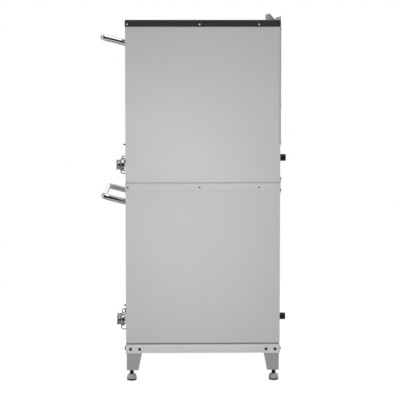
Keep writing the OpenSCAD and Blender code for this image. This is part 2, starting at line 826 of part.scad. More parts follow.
// Front sheet of the chamber, with the oven mouth over the burner port
module chamber_front() {
    port_x = burner_x[burner_count - 1] + burner_d / 2 + port_side;
    y1 = recess_d + liner_t;
    difference() {
        box([-plate_x, recess_d, liner_bottom], [plate_x, y1, plate_top]);
        box([-mouth_x, recess_d - cut, stone_top], [mouth_x, y1 + cut, stone_top + mouth_h]);
        box([-port_x, recess_d - cut, burner_z - port_h / 2], [port_x, y1 + cut, burner_z + port_h / 2]);
    }
}

// The chamber's sheets and the ledges in it, each a piece of its own
module oven_liner() {
    x1 = chamber_x + liner_t;
    y0 = recess_d + liner_t + liner_seam;
    y1 = liner_back - liner_t;
    ledge_y1 = y1 - liner_seam;
    z0 = liner_bottom + liner_t + liner_seam;
    z1 = liner_top - liner_t - liner_seam;
    color(mild_steel()) {
        chamber_front();
        for (z = [liner_bottom, liner_top - liner_t]) box([-x1, y0, z], [x1, liner_back, z + liner_t]);
        difference() {
            box([-x1, y1, z0], [x1, liner_back, z1]);
            box([-vent_w / 2, y1 - cut, vent_z1 - vent_h], [vent_w / 2, liner_back + cut, vent_z1]);
        }
        both_sides() {
            box([chamber_x, y0, z0], [x1, ledge_y1, z1]);
            for (z = [stone_z, deflector_z])
                box([chamber_x - ledge_w, y0, z - ledge_t], [chamber_x - liner_seam, ledge_y1, z]);
        }
        box([-ledge_w, y0, stone_z - ledge_t], [ledge_w, ledge_y1, stone_z]);
        box([-ledge_t / 2, y0, stone_z - ledge_w], [ledge_t / 2, ledge_y1, stone_z]);
    }
}

module stones() {
    color("#B9A88C") both_sides()
        box([stone_gap / 2, recess_d + liner_t + stone_gap, stone_z],
            [chamber_x - stone_gap, liner_back - liner_t - stone_gap, stone_top]);
}

module deflector() {
    gap = deflector_gap;
    y0 = recess_d + liner_t + gap;
    y1 = liner_back - liner_t - gap;
    color(mild_steel()) difference() {
        box([gap - chamber_x, y0, deflector_z], [chamber_x - gap, y1, deflector_z + deflector_t]);
        for (x = burner_x, side = [-1, 1]) translate([x + side * burner_pitch / 3, 0, 0])
            box([-deflector_slot_w / 2, y0 + ledge_w, deflector_z - cut],
                [deflector_slot_w / 2, y1 - ledge_w, deflector_z + deflector_t + cut]);
    }
}

// Gas

module burners() {
    rack_x = burner_x[burner_count - 1] + burner_d;
    first_y = burner_y0 + rack_in + flame_slot_in;
    step_y = (burner_l - 2 * rack_in - flame_slot_in) / (flame_slots - 1);
    l = flame_slot_l / 2;
    w = flame_slot_w / 2;
    floor_z = liner_bottom + liner_t;
    color(mild_steel()) difference() {
        union() {
            for (x = burner_x) bar_y([x, burner_y0, burner_z], burner_l, burner_d);
            for (y = [burner_y0 + rack_in, burner_y0 + burner_l - rack_in])
                box([-rack_x, y, floor_z], [rack_x, y + rack_t, burner_z]);
        }
        for (x = burner_x) {
            bar_y([x, burner_y0 - cut, burner_z], burner_l - burner_wall + cut, burner_d - 2 * burner_wall);
            for (i = [0 : flame_slots - 1])
                box([x - w, first_y + i * step_y - l, burner_z + burner_d / 4],
                    [x + w, first_y + i * step_y + l, burner_z + burner_d]);
        }
    }
}

// A pipe fitting: a ball where pipes meet, with a collar on each
module fitting(at, ways) {
    d = fitting_d;
    l = fitting_l;
    translate(at) sphere(d = d);
    for (way = ways) {
        if (way == "x+") bar_x(at, l, d);
        if (way == "x-") bar_x([at[0] - l, at[1], at[2]], l, d);
        if (way == "y+") bar_y(at, l, d);
        if (way == "z+") bar_z(at, l, d);
        if (way == "z-") bar_z([at[0], at[1], at[2] - l], l, d);
    }
}

// Supply from the coupling to the gas valve, and from the thermostat up to the manifold.
// The same runs draw the outside and the bore, which passes the open ends by the length out.
module pipe_runs(d, out) {
    supply_x = valve_x + valve_w / 2;
    end_y = body_d + inlet_reach - coupling_l;
    bar_y([inlet_x, pipe_back, inlet_z], end_y - pipe_back + out, d);
    bar_x([supply_x - out, pipe_back, inlet_z], inlet_x - supply_x + out, d);
    bar_x([outlet_x, pipe_back, inlet_z], stat_x - valve_w / 2 - outlet_x + out, d);
    bar_z([outlet_x, pipe_back, inlet_z], burner_z - inlet_z, d);
    bar_x([burner_x[0] - manifold_over, pipe_back, burner_z],
          burner_x[burner_count - 1] - burner_x[0] + 2 * manifold_over, d);
}

module gas_pipe() {
    end_y = body_d + inlet_reach;
    link_x0 = stat_x + valve_w / 2;
    link_x1 = valve_x - valve_w / 2;
    color(black_iron()) {
        difference() {
            union() {
                pipe_runs(pipe_d, 0);
                fitting([inlet_x, pipe_back, inlet_z], ["y+", "x-"]);
                fitting([outlet_x, pipe_back, inlet_z], ["x+", "z+"]);
                fitting([outlet_x, pipe_back, burner_z], ["x+", "x-", "z-"]);
                for (x = burner_x) bar_y([x, pipe_back, burner_z], burner_y0 + spud_in - pipe_back, spud_d);
                bar_y([inlet_x, end_y - coupling_l, inlet_z], coupling_l, coupling_d);
            }
            pipe_runs(pipe_bore_d, cut);
            for (p = [[inlet_x, pipe_back, inlet_z], [outlet_x, pipe_back, inlet_z]])
                translate(p) sphere(d = pipe_bore_d);
            bar_y([inlet_x, end_y - inlet_bore_l, inlet_z], inlet_bore_l + cut, inlet_bore_d);
            bar_y([inlet_x, end_y - coupling_l - cut, inlet_z], coupling_l, pipe_bore_d);
        }
        difference() {
            bar_x([link_x0, pipe_back, inlet_z], link_x1 - link_x0, pipe_d);
            bar_x([link_x0 - cut, pipe_back, inlet_z], link_x1 - link_x0 + 2 * cut, pipe_bore_d);
        }
    }
}

module gas_controls() {
    color("#9A9AA0") for (level = [0, 1]) on_deck(level) for (x = [valve_x, stat_x]) difference() {
        box([x - valve_w / 2, sheet, control_z - valve_under],
            [x + valve_w / 2, sheet + valve_d, inlet_z + valve_over]);
        bar_y([x, sheet - cut, control_z], spindle_in + cut, spindle_d + 2 * spindle_play);
    }
}

// Controls

// Half section of a knob, from its skirt's back face outwards, with an hourglass grip
function knob_profile() = let(skirt_r = knob_skirt_d / 2, grip_r = knob_grip_d / 2, edge = knob_edge,
                              waist = (knob_grip_d - knob_waist_d) / 2) concat(
    [[0, 0], [skirt_r - edge, 0], [skirt_r, edge],
     [skirt_r, knob_skirt_h - edge], [skirt_r - edge, knob_skirt_h]],
    [for (a = [0 : 22.5 : 180]) [grip_r - waist * sin(a), knob_skirt_h + (knob_grip_h - edge) * a / 180]],
    [[grip_r - edge, knob_skirt_h + knob_grip_h], [0, knob_skirt_h + knob_grip_h]]
);

module knob(x) {
    color(bright_chrome()) translate([x, 0, control_z]) {
        translate([0, -knob_gap, 0]) rotate([90, 0, 0]) rotate_extrude() polygon(knob_profile());
        bar_y([0, -knob_gap - cut, 0], knob_gap + cut + sheet + spindle_in - spindle_gap, spindle_d);
    }
}

module igniter_button() {
    color(dark_paint()) difference() {
        bar_y([-igniter_x, -button_out, control_z], button_out + button_in, button_d);
        translate([-igniter_x, button_dish - button_out - button_dish_r, control_z])
            sphere(r = button_dish_r);
    }
}

module igniter_bezels() {
    bore = button_d + 2 * button_play;
    color(black_iron()) for (level = [0, 1]) on_deck(level) difference() {
        union() {
            bar_y([-igniter_x, -bezel_out, control_z], bezel_out, bezel_d);
            bar_y([-igniter_x, -cut, control_z], barrel_in + cut, bore + 2 * barrel_wall);
        }
        bar_y([-igniter_x, -bezel_out - cut, control_z], bezel_out + barrel_in - barrel_wall + cut, bore);
    }
}

// A rod bent to a C in the plane x = 0, with both ends on the panel
module guard_hoop() {
    arm = guard_h / 2 - guard_rod_d / 2;
    r = guard_bend;
    for (side = [-1, 1]) {
        bar_y([0, r - guard_out, side * arm], guard_out - r, guard_rod_d);
        translate([0, r - guard_out, side * (arm - r)])
            rotate([side > 0 ? 180 : -90, 0, 0]) rotate([0, 90, 0])
                rotate_extrude(angle = 90) translate([r, 0]) circle(d = guard_rod_d);
    }
    bar_z([0, -guard_out, r - arm], 2 * (arm - r), guard_rod_d);
}

module knob_guards() {
    color(bright_chrome()) for (level = [0, 1]) on_deck(level)
        for (x = [stat_x - guard_beside, valve_x + guard_beside]) translate([x, 0, control_z]) guard_hoop();
}

// Door

module door_skin() {
    color(stainless()) difference() {
        box([-door_w / 2, 0, door_bottom], [door_w / 2, door_pan_d, door_bottom + door_h]);
        box([sheet - door_w / 2, sheet, door_bottom + sheet],
            [door_w / 2 - sheet, door_pan_d + cut, door_bottom + door_h - sheet]);
        bar_x([-door_w / 2 - cut, hinge_back, hinge_z], door_w + 2 * cut, pin_d + 2 * pin_play);
    }
}

module door_liner() {
    x = door_w / 2 - sheet;
    z0 = door_bottom + sheet;
    z1 = door_bottom + door_h - sheet;
    color(mild_steel()) difference() {
        box([-x, door_t - liner_pan_d, z0], [x, door_t, z1]);
        box([sheet - x, door_t - liner_pan_d - cut, z0 + sheet], [x - sheet, door_t - sheet, z1 - sheet]);
    }
}

// The block that holds a hinge pin in the door's lower corner
module pin_block() {
    block = 2 * (hinge_back - sheet);
    x1 = door_w / 2 - sheet;
    box([x1 - pin_block_l, sheet, hinge_z - block / 2], [x1, sheet + block, hinge_z + block / 2]);
}

module hinge_pins() {
    l = sheet + door_gap + pin_reach;
    color(mild_steel()) both_sides() {
        pin_block();
        bar_x([door_w / 2 - sheet - cut, hinge_back, hinge_z], l + cut, pin_d);
    }
}

module door_insulation() {
    x = door_w / 2 - 2 * sheet;
    color("#D9CBA4") difference() {
        box([-x, sheet, door_bottom + 2 * sheet], [x, door_t - sheet, door_bottom + door_h - 2 * sheet]);
        both_sides() pin_block();
    }
}

module handle_section() {
    difference() {
        circle(d = handle_d);
        circle(d = handle_d - 2 * handle_wall);
    }
}

// The handle's tube in its own plane, with y = 0 at the door and the bar on the -Y side
module handle_run() {
    reach = (handle_reach - handle_d / 2) / cos(handle_rise);
    x = door_w / 2 - handle_side;
    r = handle_bend;
    both_sides() translate([x - r, -reach, 0]) {
        translate([0, r, 0]) rotate([0, 0, -90])
            rotate_extrude(angle = 90) translate([r, 0]) handle_section();
        translate([r, r, 0]) rotate([-90, 0, 0]) linear_extrude(reach - r + handle_d) handle_section();
    }
    translate([x - r, -reach, 0]) rotate([0, -90, 0]) linear_extrude(2 * (x - r)) handle_section();
}

module door_handle() {
    root_z = door_bottom + door_h - handle_down;
    color(bright_chrome()) difference() {
        translate([0, 0, root_z]) rotate([-handle_rise, 0, 0]) handle_run();
        box([-half_w, 0, root_z - 2 * handle_d], [half_w, 3 * handle_d, root_z + 2 * handle_d]);
    }
}

// Flue

// The flue duct's sheets, each a piece of its own: back, floor and sides, a front in strips round the
// vents, and a collar of four sheets from the chamber to each vent
module vent_duct() {
    x = duct_w / 2;
    y1 = duct_y + duct_d;
    vents = [for (z = [lower_z, upper_z]) z + vent_z1 - vent_h];
    low = vents[0] - duct_below;
    strips = [[low, vents[0]], [vents[0] + vent_h, vents[1]], [vents[1] + vent_h, top_z]];
    color(mild_steel()) translate([0, y_front, 0]) {
        box([-x, y1 - sheet, low], [x, y1, top_z]);
        box([sheet + liner_seam - x, duct_y + sheet + liner_seam, low],
            [x - sheet - liner_seam, y1 - sheet - liner_seam, low + sheet]);
        both_sides()
            box([x - sheet, duct_y + sheet + liner_seam, low], [x, y1 - sheet - liner_seam, top_z]);
        for (strip = strips) box([-x, duct_y, strip[0]], [x, duct_y + sheet, strip[1]]);
        for (z = vents) {
            both_sides() {
                box([vent_w / 2, duct_y, z + liner_seam], [x, duct_y + sheet, z + vent_h - liner_seam]);
                box([vent_w / 2, liner_back, z], [vent_w / 2 + liner_t, duct_y - liner_seam, z + vent_h]);
            }
            for (edge = [z - liner_t - liner_seam, z + vent_h + liner_seam])
                box([-vent_w / 2 - liner_t, liner_back, edge],
                    [vent_w / 2 + liner_t, duct_y - liner_seam, edge + liner_t]);
        }
    }
}

module flue_hood() {
    x = hood_w / 2;
    end = [[-hood_front, 0], [-hood_front, hood_h], [-sheet, hood_low_h], [hood_back / 2, hood_low_h],
           [hood_back - sheet, hood_lip_h], [hood_back, hood_lip_h], [hood_back, 0]];
    color(stainless()) translate([0, y_front + body_d, top_z]) {
        both_sides() translate([x - sheet, 0, 0]) rotate([90, 0, 90]) linear_extrude(sheet) polygon(end);
        box([-x, -hood_front, 0], [x, sheet - hood_front, hood_h]);
        box([-x, hood_back - sheet, 0], [x, hood_back, hood_lip_h]);
        box([-x, 0, 0], [x, hood_back, sheet]);
    }
}

base_frame();
legs();
levelling_foot(-1, -1);  // foot_front_left
levelling_foot(1, -1);  // foot_front_right
levelling_foot(-1, 1);  // foot_rear_left
levelling_foot(1, 1);  // foot_rear_right
hex_bolts();
cover_screws();
panel_thumbscrews();
stacking_brackets();
rear_cover();
vent_duct();
flue_hood();
knob_guards();
gas_controls();
igniter_bezels();
on_deck(0) chassis();  // lower_chassis
on_deck(1) chassis();  // upper_chassis
on_deck(0) top_cover(stainless());  // lower_top_cover
on_deck(1) top_cover(dark_paint());  // upper_top_cover
on_deck(0) side_panel(-1, 0);  // lower_left_side
on_deck(1) side_panel(-1, 1);  // upper_left_side
on_deck(0) side_panel(1, 0);  // lower_right_side
on_deck(1) side_panel(1, 1);  // upper_right_side
on_deck(0) back_panel(0);  // lower_back_panel
on_deck(1) back_panel(1);  // upper_back_panel
on_deck(0) front_frame();  // lower_front_frame
on_deck(1) front_frame();  // upper_front_frame
on_deck(0) burner_cover();  // lower_burner_cover
on_deck(1) burner_cover();  // upper_burner_cover
on_deck(0) control_panel(0);  // lower_control_panel
on_deck(1) control_panel(1);  // upper_control_panel
on_deck(0) insulation();  // lower_insulation
on_deck(1) insulation();  // upper_insulation
on_deck(0) oven_liner();  // lower_oven_liner
on_deck(1) oven_liner();  // upper_oven_liner
on_deck(0) stones();  // lower_stones
on_deck(1) stones();  // upper_stones
on_deck(0) deflector();  // lower_deflector
on_deck(1) deflector();  // upper_deflector
on_deck(0) burners();  // lower_burners
on_deck(1) burners();  // upper_burners
on_deck(0) gas_pipe();  // lower_gas_pipe
on_deck(1) gas_pipe();  // upper_gas_pipe
on_deck(0) door_skin();  // lower_door_skin
on_deck(1) door_skin();  // upper_door_skin
on_deck(0) door_liner();  // lower_door_liner
on_deck(1) door_liner();  // upper_door_liner
on_deck(0) door_insulation();  // lower_door_insulation
on_deck(1) door_insulation();  // upper_door_insulation
on_deck(0) door_handle();  // lower_door_handle
on_deck(1) door_handle();  // upper_door_handle
on_deck(0) hinge_pins();  // lower_hinge_pins
on_deck(1) hinge_pins();  // upper_hinge_pins
on_deck(0) knob(valve_x);  // lower_valve_knob
on_deck(1) knob(valve_x);  // upper_valve_knob
on_deck(0) knob(stat_x);  // lower_thermostat_knob
on_deck(1) knob(stat_x);  // upper_thermostat_knob
on_deck(0) igniter_button();  // lower_igniter_button
on_deck(1) igniter_button();  // upper_igniter_button
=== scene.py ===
"""Looks of a double-deck gas pizza oven, made around its packed model and laid out as an add-on."""

from types import SimpleNamespace

import bmesh
import bpy
import numpy as np
from bpy.props import FloatProperty, FloatVectorProperty, IntProperty, PointerProperty
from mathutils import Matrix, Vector


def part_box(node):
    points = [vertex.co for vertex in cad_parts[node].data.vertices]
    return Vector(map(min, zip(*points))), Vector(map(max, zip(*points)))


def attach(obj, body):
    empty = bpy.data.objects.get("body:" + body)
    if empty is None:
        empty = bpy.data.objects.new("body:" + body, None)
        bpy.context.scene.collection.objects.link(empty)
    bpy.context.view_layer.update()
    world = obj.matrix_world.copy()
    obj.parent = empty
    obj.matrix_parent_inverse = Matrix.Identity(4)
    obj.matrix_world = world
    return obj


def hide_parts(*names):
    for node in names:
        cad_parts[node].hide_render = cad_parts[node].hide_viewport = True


bl_info = {
    "name": "Deck oven dresser",
    "version": (1, 0, 0),
    "blender": (4, 5, 0),
    "location": "3D View > Sidebar > Deck oven",
    "description": "Sheet metal, fittings and finishes of a double-deck pizza oven",
    "category": "Add Mesh",
}

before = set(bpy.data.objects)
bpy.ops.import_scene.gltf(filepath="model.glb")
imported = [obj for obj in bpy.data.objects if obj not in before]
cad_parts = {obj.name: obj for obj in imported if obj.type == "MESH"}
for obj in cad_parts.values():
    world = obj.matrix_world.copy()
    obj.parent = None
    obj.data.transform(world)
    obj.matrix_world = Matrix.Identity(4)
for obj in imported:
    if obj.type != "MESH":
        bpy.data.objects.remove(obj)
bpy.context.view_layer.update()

MM = 0.001
AXES = {"x": np.array([1.0, 0, 0]), "y": np.array([0, 1.0, 0]), "z": np.array([0, 0, 1.0])}


def ends(node):
    """Lowest and highest corners of a packed node, in millimetres."""
    return np.array(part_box(node)) / MM


def low(node):
    """Lowest corner of a packed node."""
    return ends(node)[0]


def high(node):
    """Highest corner of a packed node."""
    return ends(node)[1]


def middle(node):
    """Middle of a packed node's box."""
    return ends(node).sum(0) / 2


DECKS = ("lower", "upper")
SIDES = (-1, 1)
OUTWARDS = {-1: "-x", 1: "x"}
CABINET = "cabinet"
HALF_W = high("lower_right_side")[0]
FRONT = low("lower_control_panel")[1]
BACK = high("lower_back_panel")[1]
BASE_Z = low("base_frame")[2]
LEG_FOOT_Z = low("legs")[2]
DECK_Z = {deck: low(deck + "_chassis")[2] for deck in DECKS}

# Places and sizes of small parts, in millimetres
LEG_BOLTS = (24.4, 73.0)  # bolts of a leg's side, from the oven's corner
BRACKET_INSET = 60  # middle of a stacking bracket, from the oven's side
BRACKET_WALL = 4  # thickness of a stacking bracket
BRACKET_BOLTS = (-44, 18)  # bolts of a bracket, from the upper deck's bottom
COVER_SCREWS = (12, 395, 114)  # screws of a top cover: two from the front, one from the back
COVER_SCREW_DROP = 24  # from the top of the cover
PAN_HEIGHT = 2.5  # height of a pan-head screw
THUMBSCREW_X = 555  # from the oven's middle
THUMBSCREW_DROP = 12  # from the top of the control panel
FOOT_INSET = (34, 30)  # middle of a foot, from the side and from the front or back
FLUE_GAP = 0.5  # beside the flue duct, in the top covers
FLUE_DEPTH = 32.5  # of that opening, from the flue duct's back
DOOR_GAPS = (3, 5, 4)  # round a door: beside, below and above it
RIM = (12, 27)  # outer and inner edge of the base's raised rim, from the base channel's side
RIM_HEIGHT = 4
LEG_PLATE = 6  # thickness of the plate in a leg's foot
STONE_GAP = 1.0  # between the two stones of a deck
SUNK = 1  # depth of a fastener in what it stands on
FACE_RING = 8  # first ring of a folded face, from its bend

SHARP_ANGLE = np.radians(32)  # faces that turn by more part at a sharp edge


def linear(code):
    """Linear RGB of an sRGB hex colour."""
    c = np.array([int(code[i:i + 2], 16) for i in (1, 3, 5)]) / 255
    return tuple(np.where(c <= 0.04045, c / 12.92, ((c + 0.055) / 1.055) ** 2.4))


def mm(name, description, default):
    """A length given in millimetres, which the sidebar shows in the scene's unit."""
    return FloatProperty(name=name, description=description, default=default * MM, min=0.0, unit="LENGTH",
                         precision=4)


def in_mm(group):
    """The values of a group of sizes, with its lengths in millimetres."""
    values = {key: getattr(group, key) for key in type(group).__annotations__}
    return SimpleNamespace(**{key: v if isinstance(v, int) else round(v / MM, 4)
                              for key, v in values.items()})


def colour(name, description, code):
    """A colour that the sidebar shows, given as sRGB hex."""
    return FloatVectorProperty(name=name, description=description, default=linear(code), subtype="COLOR",
                               min=0.0, max=1.0)


# Sizes and colours

class SheetSizes(bpy.types.PropertyGroup):
    """Sheet metal of the casing, the doors and the stand."""
    wall: mm("Sheet", "Thickness of the stainless sheet", 1.5)
    edge: mm("Edge", "Radius of a cut and brushed sheet edge", 0.6)
    bend: mm("Bend", "Outer radius of a folded edge", 3.0)
    cover_bend: mm("Cover bend", "Outer radius of a top cover's folded edges", 5.5)
    door_bend: mm("Door bend", "Outer radius of a door's folded edges", 5.0)
    flange: mm("Flange", "Width of the flanges turned in behind the panels", 30.0)
    channel: mm("Channel", "Thickness of the base channel", 3.0)
    channel_bend: mm("Channel bend", "Outer radius of the base channel's folds", 3.2)
    leg_wall: mm("Leg", "Thickness of a leg's steel", 2.5)
    leg_inset: mm("Leg inset", "Inset of a leg's faces from the base channel", 3.5)
    leg_bend: mm("Leg bend", "Outer radius of a leg's vertical fold", 5.0)
    leg_hem: mm("Leg hem", "Outer radius of the hem at a leg's foot", 6.0)
    leg_top: mm("Leg top", "Width of a leg's side at its top", 85.0)
    leg_bottom: mm("Leg bottom", "Width of a leg's side at its foot", 66.5)


class LouvreSizes(bpy.types.PropertyGroup):
    """Louvres of the burner covers."""
    columns: IntProperty(name="Columns", description="Louvres in a row", default=7)
    rows: IntProperty(name="Rows", description="Rows of louvres", default=5)
    length: mm("Length", "Length of a louvre", 120.0)
    pitch: mm("Pitch", "Distance between the rows", 30.0)
    height: mm("Height", "Height of a louvre", 9.0)
    depth: mm("Depth", "Depth of a louvre behind the panel", 7.0)


class FittingSizes(bpy.types.PropertyGroup):
    """Handles, knobs, guards, feet and fasteners."""
    handle: mm("Handle", "Diameter of a handle's tube", 32.0)
    handle_bend: mm("Handle bend", "Radius of a handle's bends", 30.0)
    set_screw: mm("Set screw", "Diameter of a handle's set screws", 8.0)
    set_screw_out: mm("Set screw place", "Distance of a set screw from the door", 14.0)
    guard: mm("Guard rod", "Diameter of a knob guard's rod", 6.0)
    guard_height: mm("Guard height", "Height of a knob guard", 90.0)
    guard_reach: mm("Guard reach", "Distance of a guard's upright from the panel", 32.0)
    guard_beside: mm("Guard side", "Distance of a guard beside its knob's middle", 48.0)
    guard_bend: mm("Guard bend", "Radius of a guard's bends", 12.0)
    skirt: mm("Skirt", "Diameter of a knob's skirt", 62.0)
    grip: mm("Grip", "Diameter of a knob's grip", 54.0)
    waist: mm("Waist", "Diameter of a grip's waist", 47.0)
    skirt_height: mm("Skirt height", "Depth of a knob's skirt", 19.0)
    knob_gap: mm("Knob gap", "Gap between a knob and its panel", 15.0)
    pointer: mm("Pointer", "Width of the pointer on a knob's face", 2.6)
    print_out: mm("Print", "Height of a printed mark over its panel", 0.25)
    bolt: mm("Bolt", "Hexagon head over its corners", 14.0)
    screw: mm("Screw", "Diameter of a cover screw's head", 9.0)
    stem: mm("Stem", "Diameter of a foot's threaded stem", 22.0)


class Finishes(bpy.types.PropertyGroup):
    """Colours of the metals, the stone and the plastics."""
    stainless: colour("Stainless", "Brushed stainless steel", "#DEDEDE")
    paint: colour("Enamel", "Black enamel of the top trim", "#2C2C2C")
    chrome: colour("Chrome", "Chrome plate", "#E6E7E9")
    zinc: colour("Zinc", "Zinc-plated steel", "#A2A3A4")
    mill: colour("Mill scale", "Hot-rolled angle steel", "#5E6266")
    aluminised: colour("Aluminised", "Aluminised steel sheet", "#A6A59F")
    stone: colour("Stone", "Cast baking stone", "#B9A88C")
    wool: colour("Wool", "Mineral wool", "#C9B777")
    iron: colour("Iron", "Black pipe fittings", "#1C1C1E")
    casting: colour("Casting", "Die-cast valve bodies", "#8F9094")
    plastic: colour("Plastic", "Black phenolic plastic", "#141414")


# Shapes, in millimetres. Each gives the points and faces of closed skins.

def rounded_rect(x0, x1, y0, y1, radius, steps=5):
    """Rounded rectangle: each corner's centre plus the radius at angles over a quarter turn."""
    angle = np.arange(4)[:, None] * np.pi / 2 + np.linspace(0, np.pi / 2, steps + 1)
    cx = np.array([x1 - radius, x0 + radius, x0 + radius, x1 - radius])[:, None]
    cy = np.array([y1 - radius, y1 - radius, y0 + radius, y0 + radius])[:, None]
    return np.stack([cx + radius * np.cos(angle), cy + radius * np.sin(angle)], -1).reshape(-1, 2)


def fold(radius, steps=6):
    """Quarter circle: rows of radius·(1 - sin t) and radius·(1 - cos t)."""
    t = np.linspace(0, np.pi / 2, steps)
    return radius * np.stack([1 - np.sin(t), 1 - np.cos(t)], 1)


def drawn_in(lo, hi, insets, corner, least=0.3):
    """Rounded rectangles, one for each inset from the sides. A corner's radius shrinks by the inset."""
    return [rounded_rect(lo[0] + e, hi[0] - e, lo[1] + e, hi[1] - e, max(corner - e, least)) for e in insets]


def rounded_path(points, radius, steps):
    """Path whose inner corners are arcs: at angle t of the turn a point is
    start + r·(in·sin t + side·(1 - cos t))."""
    points = np.asarray(points, float)
    rows = [points[:1]]
    for before, corner, after in zip(points[:-2], points[1:-1], points[2:]):
        a = (corner - before) / np.linalg.norm(corner - before)
        b = (after - corner) / np.linalg.norm(after - corner)
        turn = np.arccos(np.clip(a @ b, -1, 1))
        side = (b - a @ b * a) / np.sin(turn)
        start = corner - a * radius * np.tan(turn / 2)
        t = np.linspace(0, turn, steps)[:, None]
        rows.append(start + radius * (np.sin(t) * a + (1 - np.cos(t)) * side))
    return np.vstack(rows + [points[-1:]])


def skin(grid, wrap_u=False):
    """Skin of a grid of points: a quad between neighbours, rows closed on themselves, and flat ends where the
    last row doesn't join the first."""
    nu, nv = grid.shape[:2]
    index = np.arange(nu * nv).reshape(nu, nv)
    tall = np.vstack([index, index[:1]]) if wrap_u else index
    wide = np.hstack([tall, tall[:, :1]])
    quads = np.stack([wide[:-1, :-1], wide[:-1, 1:], wide[1:, 1:], wide[1:, :-1]], -1).reshape(-1, 4)
    caps = [] if wrap_u else [index[0, ::-1].tolist(), index[-1].tolist()]
    return grid.reshape(-1, 3), quads.tolist() + caps


def stack(rings, heights, normal):
    """Flat rings stacked along an axis: the ring's own two axes take the other two places."""
    rings = np.asarray(rings, float)
    a, b = rings[..., 0], rings[..., 1]
    h = np.broadcast_to(np.asarray(heights, float)[:, None], a.shape)
    return np.stack({"x": (h, a, b), "y": (a, h, b), "z": (a, b, h)}[normal], -1)


def slab(lo, hi, normal, edge=0.6, corner=0.6):
    """Block with rounded edges: rounded rectangles stacked along one axis, drawn in by a quarter circle at
    both ends."""
    n = "xyz".index(normal)
    i, j = [k for k in range(3) if k != n]
    a, b = fold(edge, 4).T
    rings = drawn_in((lo[i], lo[j]), (hi[i], hi[j]), [*a, *b], corner, 0.05)
    return skin(stack(rings, [*(lo[n] + b), *(hi[n] - a)], normal))


def tray(lo, hi, normal, top, depth, bend, wall, hole=None):
    """Folded tray: a face at height top, bent by a quarter circle into a skirt, with the same path offset by
    the wall as its inside. depth is signed, away from the face. A hole is a rectangle through the face."""
    drop, face = abs(depth), bend + FACE_RING
    inside = wall + fold(max(bend - wall, 0.2))
    path = np.vstack([[[face, 0]], fold(bend), [[0, drop], [wall, drop]], inside[::-1], [[face, wall]]])
    rings = drawn_in(lo, hi, path[:, 0], bend)
    heights = top + np.sign(depth) * path[:, 1]
    if hole:
        opening = rounded_rect(*hole, 1.0)
        heights = [heights[0], *heights, heights[-1]]
        return skin(stack([opening] + rings + [opening], heights, normal), wrap_u=True)
    return skin(stack(rings, heights, normal))


def lathe(profile, centre, axis, steps, ripple=None):
    """Profile of (radius, height) turned about an axis: centre + height·axis + radius·(cos·side + sin·up).
    ripple(radius, height, angle) gives the radius of a toothed or threaded surface."""
    profile = np.asarray(profile, float)
    sign = -1 if axis.startswith("-") else 1
    name = axis[-1]
    side, up = [AXES[k] for k in "xyz" if k != name]
    angle = np.linspace(0, 2 * np.pi, steps, endpoint=False)[None, :]
    r, h = profile[:, :1], profile[:, 1:]
    radius = ripple(r, h, angle) if ripple else r + 0 * angle
    grid = (np.asarray(centre, float) + h[..., None] * sign * AXES[name]
            + radius[..., None] * (np.cos(angle)[..., None] * side + np.sin(angle)[..., None] * up))
    return skin(grid)


def turned_ring(profile, centre, axis, steps):
    """Lathe of a profile that closes on itself, without flat ends."""
    points, faces = lathe(profile + profile[:1], centre, axis, steps)
    return points, faces[:-2]


def sweep(path, diameter, side, steps):
    """Round bar along a flat path: path + r(cos·across + sin·side), with across at right angles to both."""
    path = np.asarray(path, float)
    tangent = np.gradient(path, axis=0)
    tangent /= np.linalg.norm(tangent, axis=1, keepdims=True)
    across = np.cross(np.asarray(side, float), tangent)
    across /= np.linalg.norm(across, axis=1, keepdims=True)
    up = np.cross(tangent, across)
    angle = np.linspace(0, 2 * np.pi, steps, endpoint=False)[None, :, None]
    grid = path[:, None] + diameter / 2 * (np.cos(angle) * across[:, None] + np.sin(angle) * up[:, None])
    return skin(grid)


def prism(outline, start, end, normal):
    """Flat outline drawn out along an axis."""
    return skin(stack([outline, outline], [start, end], normal))


# Pieces

def smooth_and_sharpen(mesh):
    """Shades a mesh smooth, with sharp edges where its faces turn by more than the sharp angle."""
    mesh.polygons.foreach_set("use_smooth", np.ones(len(mesh.polygons), bool))
    mesh.set_sharp_from_angle(angle=SHARP_ANGLE)


def piece(name, body, parts, key, nodes=(), closed=True):
    """Joins skins into one piece that rides on a body, wears a finish and may stand for packed nodes."""
    points, faces, start = [], [], 0
    for p, f in parts:
        points.append(p)
        faces += [[i + start for i in face] for face in f]
        start += len(p)
    mesh = bpy.data.meshes.new(name)
    mesh.from_pydata((np.vstack(points) * MM).tolist(), [], faces)
    work = bmesh.new()
    work.from_mesh(mesh)
    bmesh.ops.remove_doubles(work, verts=work.verts, dist=2e-6)
    bmesh.ops.dissolve_degenerate(work, edges=work.edges, dist=2e-6)
    if closed:
        bmesh.ops.recalc_face_normals(work, faces=work.faces)
    work.to_mesh(mesh)
    work.free()
    smooth_and_sharpen(mesh)
    mesh.materials.append(FINISH[key])
    made = bpy.data.objects.new(name, mesh)
    bpy.context.scene.collection.objects.link(made)
    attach(made, body)
    if nodes:
        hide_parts(*nodes)
    return made


def thicken(made, wall):
    """Gives an open sheet its thickness, inwards, and shades its cut edges sharp."""
    solid = made.modifiers.new("Sheet thickness", "SOLIDIFY")
    solid.thickness = wall * MM
    solid.offset = -1
    seen = made.evaluated_get(bpy.context.evaluated_depsgraph_get())
    mesh = bpy.data.meshes.new_from_object(seen)
    made.modifiers.clear()
    made.data = mesh
    smooth_and_sharpen(mesh)


def second_finish(made, key, where):
    """Puts a second finish on the faces whose middle height, in millimetres, passes a test."""
    mesh = made.data
    mesh.materials.append(FINISH[key])
    centres = np.empty(3 * len(mesh.polygons), np.float32)
    mesh.polygons.foreach_get("center", centres)
    mesh.polygons.foreach_set("material_index", where(centres[2::3] / MM).astype(np.int32))


# Finishes

